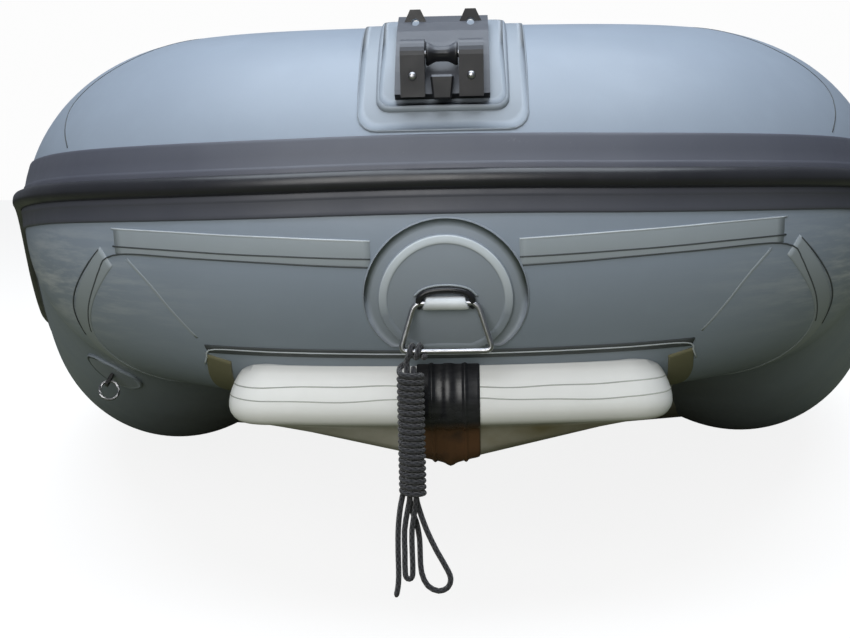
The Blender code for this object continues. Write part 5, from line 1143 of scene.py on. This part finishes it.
def valves():
    """Valve bodies with a fabric ring, and ribbed caps with a raised grip."""
    body = [(0.01, 3.6), (13.8, 3.6), (14.0, 7.4), (21.4, 8.0), (22.6, 7.4), (23.4, 6.2), (27.4, 5.2),
            (29.2, 4.2), (30, 2.6), (30, -12), (0.01, -12)]
    cap = [(0.01, 8.9), (7.5, 8.9), (8.3, 8.4), (9.0, 7.4), (15.0, 7.2), (16.0, 7.9), (17.6, 8.9),
           (19.6, 8.6), (21.2, 7.4), (22, 5.6), (22, 1.2), (21.2, 0.4), (0.01, 0.4)]
    for name, place, axis in VALVES:
        axis = unit(np.array(axis))
        turned = lathe(f"air_valve_{name}", body, place, axis, PLASTIC, 64)
        dress(turned, "black_plastic", "hull", f"valve_body_{name}")
        knob = lathe(f"air_valve_lid_{name}", cap, np.array(place) + axis * 8 * MM, axis, PLASTIC, 120,
                     (24, 0.9, 0.8, 6.5))
        dress(knob, "black_plastic", f"valve_cap_{name}", f"valve_cap_{name}")
    for name, distance, angle in (("bow", 0.33, 140.0), ("port", SIDE_VALVE_AT, 118.0),
                                  ("starboard", -SIDE_VALVE_AT, 118.0)):
        patch(f"valve_patch_{name}", distance, angle, 46 * MM, patch_profile(1.3, 0.9, 6), 64)


def oarlocks():
    """A turned base on a fabric patch at each side, and the oar's ring on its pin."""
    base = [(7.4, -13), (7.4, -0.8), (8.2, 0), (20, 0), (22.5, -0.7), (24, -2.4), (25.5, -8), (29, -13),
            (35, -16), (42, -17.6), (44.4, -19), (45, -21.5), (45, -60), (0.01, -60), (0.01, -13)]
    pin = [(0.01, 11.4), (5, 11.2), (8.5, 10.2), (10.6, 8.4), (11.2, 6.6), (11.2, 1.2), (10.6, 0.4), (7, 0.3),
           (7, -11.6), (6, -12), (0.01, -12)]
    turns = circle(64)
    wire = np.column_stack([np.sin(turns), np.zeros(64), -np.cos(turns)]) * 30 * MM
    for name, side in SIDES:
        seat = np.array((side * 0.6243, 0.6, 0.4473))
        piece = lathe(f"rowlock_base_{name}", base, seat, UP, PLASTIC, 72)
        dress(piece, "black_plastic", "hull", f"oarlock_base_{name}")
        stem = lathe(f"rowlock_pin_{name}", pin, seat, UP, PLASTIC, 40)
        dress(stem, "black_plastic", f"oarlock_{name}", f"oarlock_{name}")
        ring = rope(f"rowlock_ring_{name}", seat + UP * 36.7 * MM + wire, 5.9 * MM, PLASTIC, sides=20,
                    closed=True)
        dress(ring, "black_plastic", f"oarlock_{name}")
        patch(f"rowlock_patch_{name}", side * OARLOCK_AT, 78, 76 * MM, patch_profile(1.4, 0.9, 8), 80)


def grab_lines():
    """Braided lines through the eyes, knotted at both ends, and a fabric patch under each eye."""
    angle, proud, beyond = 48.0, 13 * MM, 41 * MM
    eyes = [at_y(STERN_Y - from_stern) for from_stern in (1.5, 1.15, 0.8)]
    first, last = eyes[0] - beyond, eyes[-1] + beyond
    knot = mirrored([(0.01, 10), (5.5, 9.2), (7.6, 6.6), (8.0, 4), (7.0, 1.6), (7.4, 0)], (1, -1))
    for name, side in SIDES:
        line = skin(side * np.linspace(first, last, 90), angle, proud)
        piece = rope(f"grab_rope_{name}", line, 5 * MM, CORD, side=UP, sides=14)
        dress(piece, "cord", "hull", f"grab_line_{name}")
        tuple(line[0])
        [tuple(point) for point in line]
        for index, distance in enumerate((first + 11 * MM, last - 11 * MM), 1):
            along = line_frame(side * distance)[0]
            place = skin(side * distance, angle, proud)
            dress(lathe(f"grab_knot_{name}_{index}", knot, place, along, CORD, 24), "cord", "hull")
        for index, eye in enumerate(eyes, 1):
            patch(f"grab_patch_{name}_{index}", side * eye, angle, rounded_reach(28 * MM, 38 * MM, 12 * MM),
                  patch_profile(1.3, 0.9, 6), 64)


def seat_rails():
    """Moulded rails with raised edges, which the benches slide along."""
    section = mirrored([(-19, -0.3), (-19, 3.6), (-18.2, 5.6), (-16.6, 6.5), (-12, 6.6), (-10.4, 6.1),
                        (-9.6, 5.0)])
    section += [(9, -0.3), (0, -0.3), (-9, -0.3)]
    end = at_y(STERN_Y - 0.6)
    for name, side in SIDES:
        rail = strip(f"bench_rail_{name}", side * np.linspace(end - 0.9, end, 120), section, PLASTIC, 149.0,
                     sharp=40)
        dress(rail, "black_rubber", "hull", f"seat_rail_{name}")


def tow_eye():
    """The patch under the small towing ring at the starboard bow corner."""
    patch("tow_patch_sheet", -0.56, -58, 42 * MM, patch_profile(3.5, 1.6, 8), 72, "tow_patch")


def drain():
    """The ribbed head of the drain's plug, and its stem."""
    front = (0.23, 1.2943, 0.175)
    head = [(0.01, 9.2), (6, 9.2), (7, 8.4), (7.6, 6.8), (12.5, 6.4), (14.6, 7.6), (15.6, 6.4), (16, 4.2),
            (16, 1.4), (15, 0.4), (10.7, 0.4), (10.7, -22), (9.6, -23), (0.01, -23)]
    plug = lathe("drain_stopper", head, front, (0, 1, 0), GUARD, 80, (20, 0.7, 1.2, 6.5))
    dress(plug, "black_rubber", "drain_plug", "drain_plug")


def bow_ring():
    """The bent wire ring, hanging from its top bar."""
    corners = np.array([(-32.5, 0, 0), (32.5, 0, 0), (48, 0, -50), (-48, 0, -50)]) * MM
    outline = []
    for index, corner in enumerate(corners):
        before = unit(corners[index - 1] - corner) * 9 * MM
        after = unit(corners[(index + 1) % 4] - corner) * 9 * MM
        outline += [corner + before * (1 - share) ** 2 + after * share ** 2 for share in np.linspace(0, 1, 9)]
    ring = rope("towing_ring_wire", HINGE + np.array(outline), RING_WIRE_RADIUS, STEEL, sides=20, closed=True)
    dress(ring, "stainless", "bow_ring", "bow_ring")


def shader(tree, kind, **inputs):
    """A shader in the tree, with its colour or strength set."""
    made = tree.nodes.new(kind)
    for socket, value in inputs.items():
        made.inputs[socket].default_value = (*value, 1) if socket == "Color" else value
    return made.outputs[0]


def seen_apart(tree, seen, other, output):
    """The rays from the camera meet one shader, and all other rays another."""
    choose = tree.nodes.new("ShaderNodeMixShader")
    from_camera = tree.nodes.new("ShaderNodeLightPath").outputs["Is Camera Ray"]
    for index, source in enumerate((from_camera, other, seen)):
        tree.links.new(source, choose.inputs[index])
    tree.links.new(choose.outputs[0], output.inputs["Surface"])


def studio():
    """A pale floor, a soft light from above and a weak one from ahead, and a pale surround."""
    bpy.context.scene.view_settings.view_transform = "Standard"
    for name, place, target, size, power, color in LIGHTS:
        data = bpy.data.lights.new(name, "AREA")
        data.shape, data.size, data.energy, data.color = "DISK", size, power, color
        lamp = linked(name, data)
        lamp.location = place
        lamp.rotation_euler = (Vector(place) - Vector(target)).to_track_quat("Z", "Y").to_euler()

    world = bpy.data.worlds.new("surround")
    world.use_nodes = True
    bpy.context.scene.world = world
    tree = world.node_tree
    back = tree.nodes["Background"]
    back.inputs["Color"].default_value = (*SURROUND_COLOR, 1)
    back.inputs["Strength"].default_value = SURROUND_STRENGTH
    seen = shader(tree, "ShaderNodeBackground", Color=(1, 1, 1), Strength=SURROUND_SEEN)
    seen_apart(tree, seen, back.outputs[0], tree.nodes["World Output"])

    mesh = bpy.data.meshes.new("studio_floor")
    far = STAGE_REACH
    mesh.from_pydata([(-far, -far, 0), (far, -far, 0), (far, far, 0), (-far, far, 0)], [], [(0, 1, 2, 3)])
    ground = linked("studio_floor", mesh)
    ground.location.z = -1 * MM
    pale = bpy.data.materials.new("studio_floor")
    pale.use_nodes = True
    tree = pale.node_tree
    tree.nodes.clear()
    both = tree.nodes.new("ShaderNodeAddShader")
    tree.links.new(shader(tree, "ShaderNodeBsdfDiffuse", Color=STAGE_SEEN), both.inputs[0])
    tree.links.new(shader(tree, "ShaderNodeEmission", Strength=STAGE_GLOW), both.inputs[1])
    bounce = shader(tree, "ShaderNodeBsdfDiffuse", Color=STAGE_BOUNCE)
    seen_apart(tree, both.outputs[0], bounce, tree.nodes.new("ShaderNodeOutputMaterial"))
    mesh.materials.append(pale)


def carried_over():
    """CAD pieces whose shape is right keep it, with softened edges and a better material."""
    finishes = {"black_rubber": GUARD, "black_plastic": PLASTIC, "plywood": PLYWOOD, "stainless": STEEL,
                "patch_fabric": PATCH, "tube_fabric": TUBE, "floor_fabric": MAT, "strake_rubber": BAND,
                "bead_rubber": BEAD, "cord": CORD}
    for node in NODES.values():
        for slot in node.material_slots:
            name = slot.material.name.split(".")[0] if slot.material else ""
            slot.material = finishes.get(name, PLASTIC)
        shade(node.data, EDGE_ANGLE)
    for name in ("transom", "front_bench", "rear_bench"):
        bevelled(NODES[name], 2.5 * MM)
    eyes = [name for name in NODES if name.startswith("grab_eye")]
    for name in ("outer_motor_plate", "inner_motor_plate", "guide_tongue", "roller_frame",
                 "transom_holder_port", "transom_holder_starboard", *eyes):
        bevelled(NODES[name], 1.2 * MM)


def main():
    """Every piece of the boat, and the stage it stands on."""
    for build in (camera, painter, hull_skin, strakes, cone_caps, floor, keel_guard, apron, fitting_patches,
                  seams, ring_seat, ring_strap, bow_ring, bow_finish, valves, oarlocks, grab_lines,
                  seat_rails, tow_eye, drain, carried_over, studio):
        build()


main()
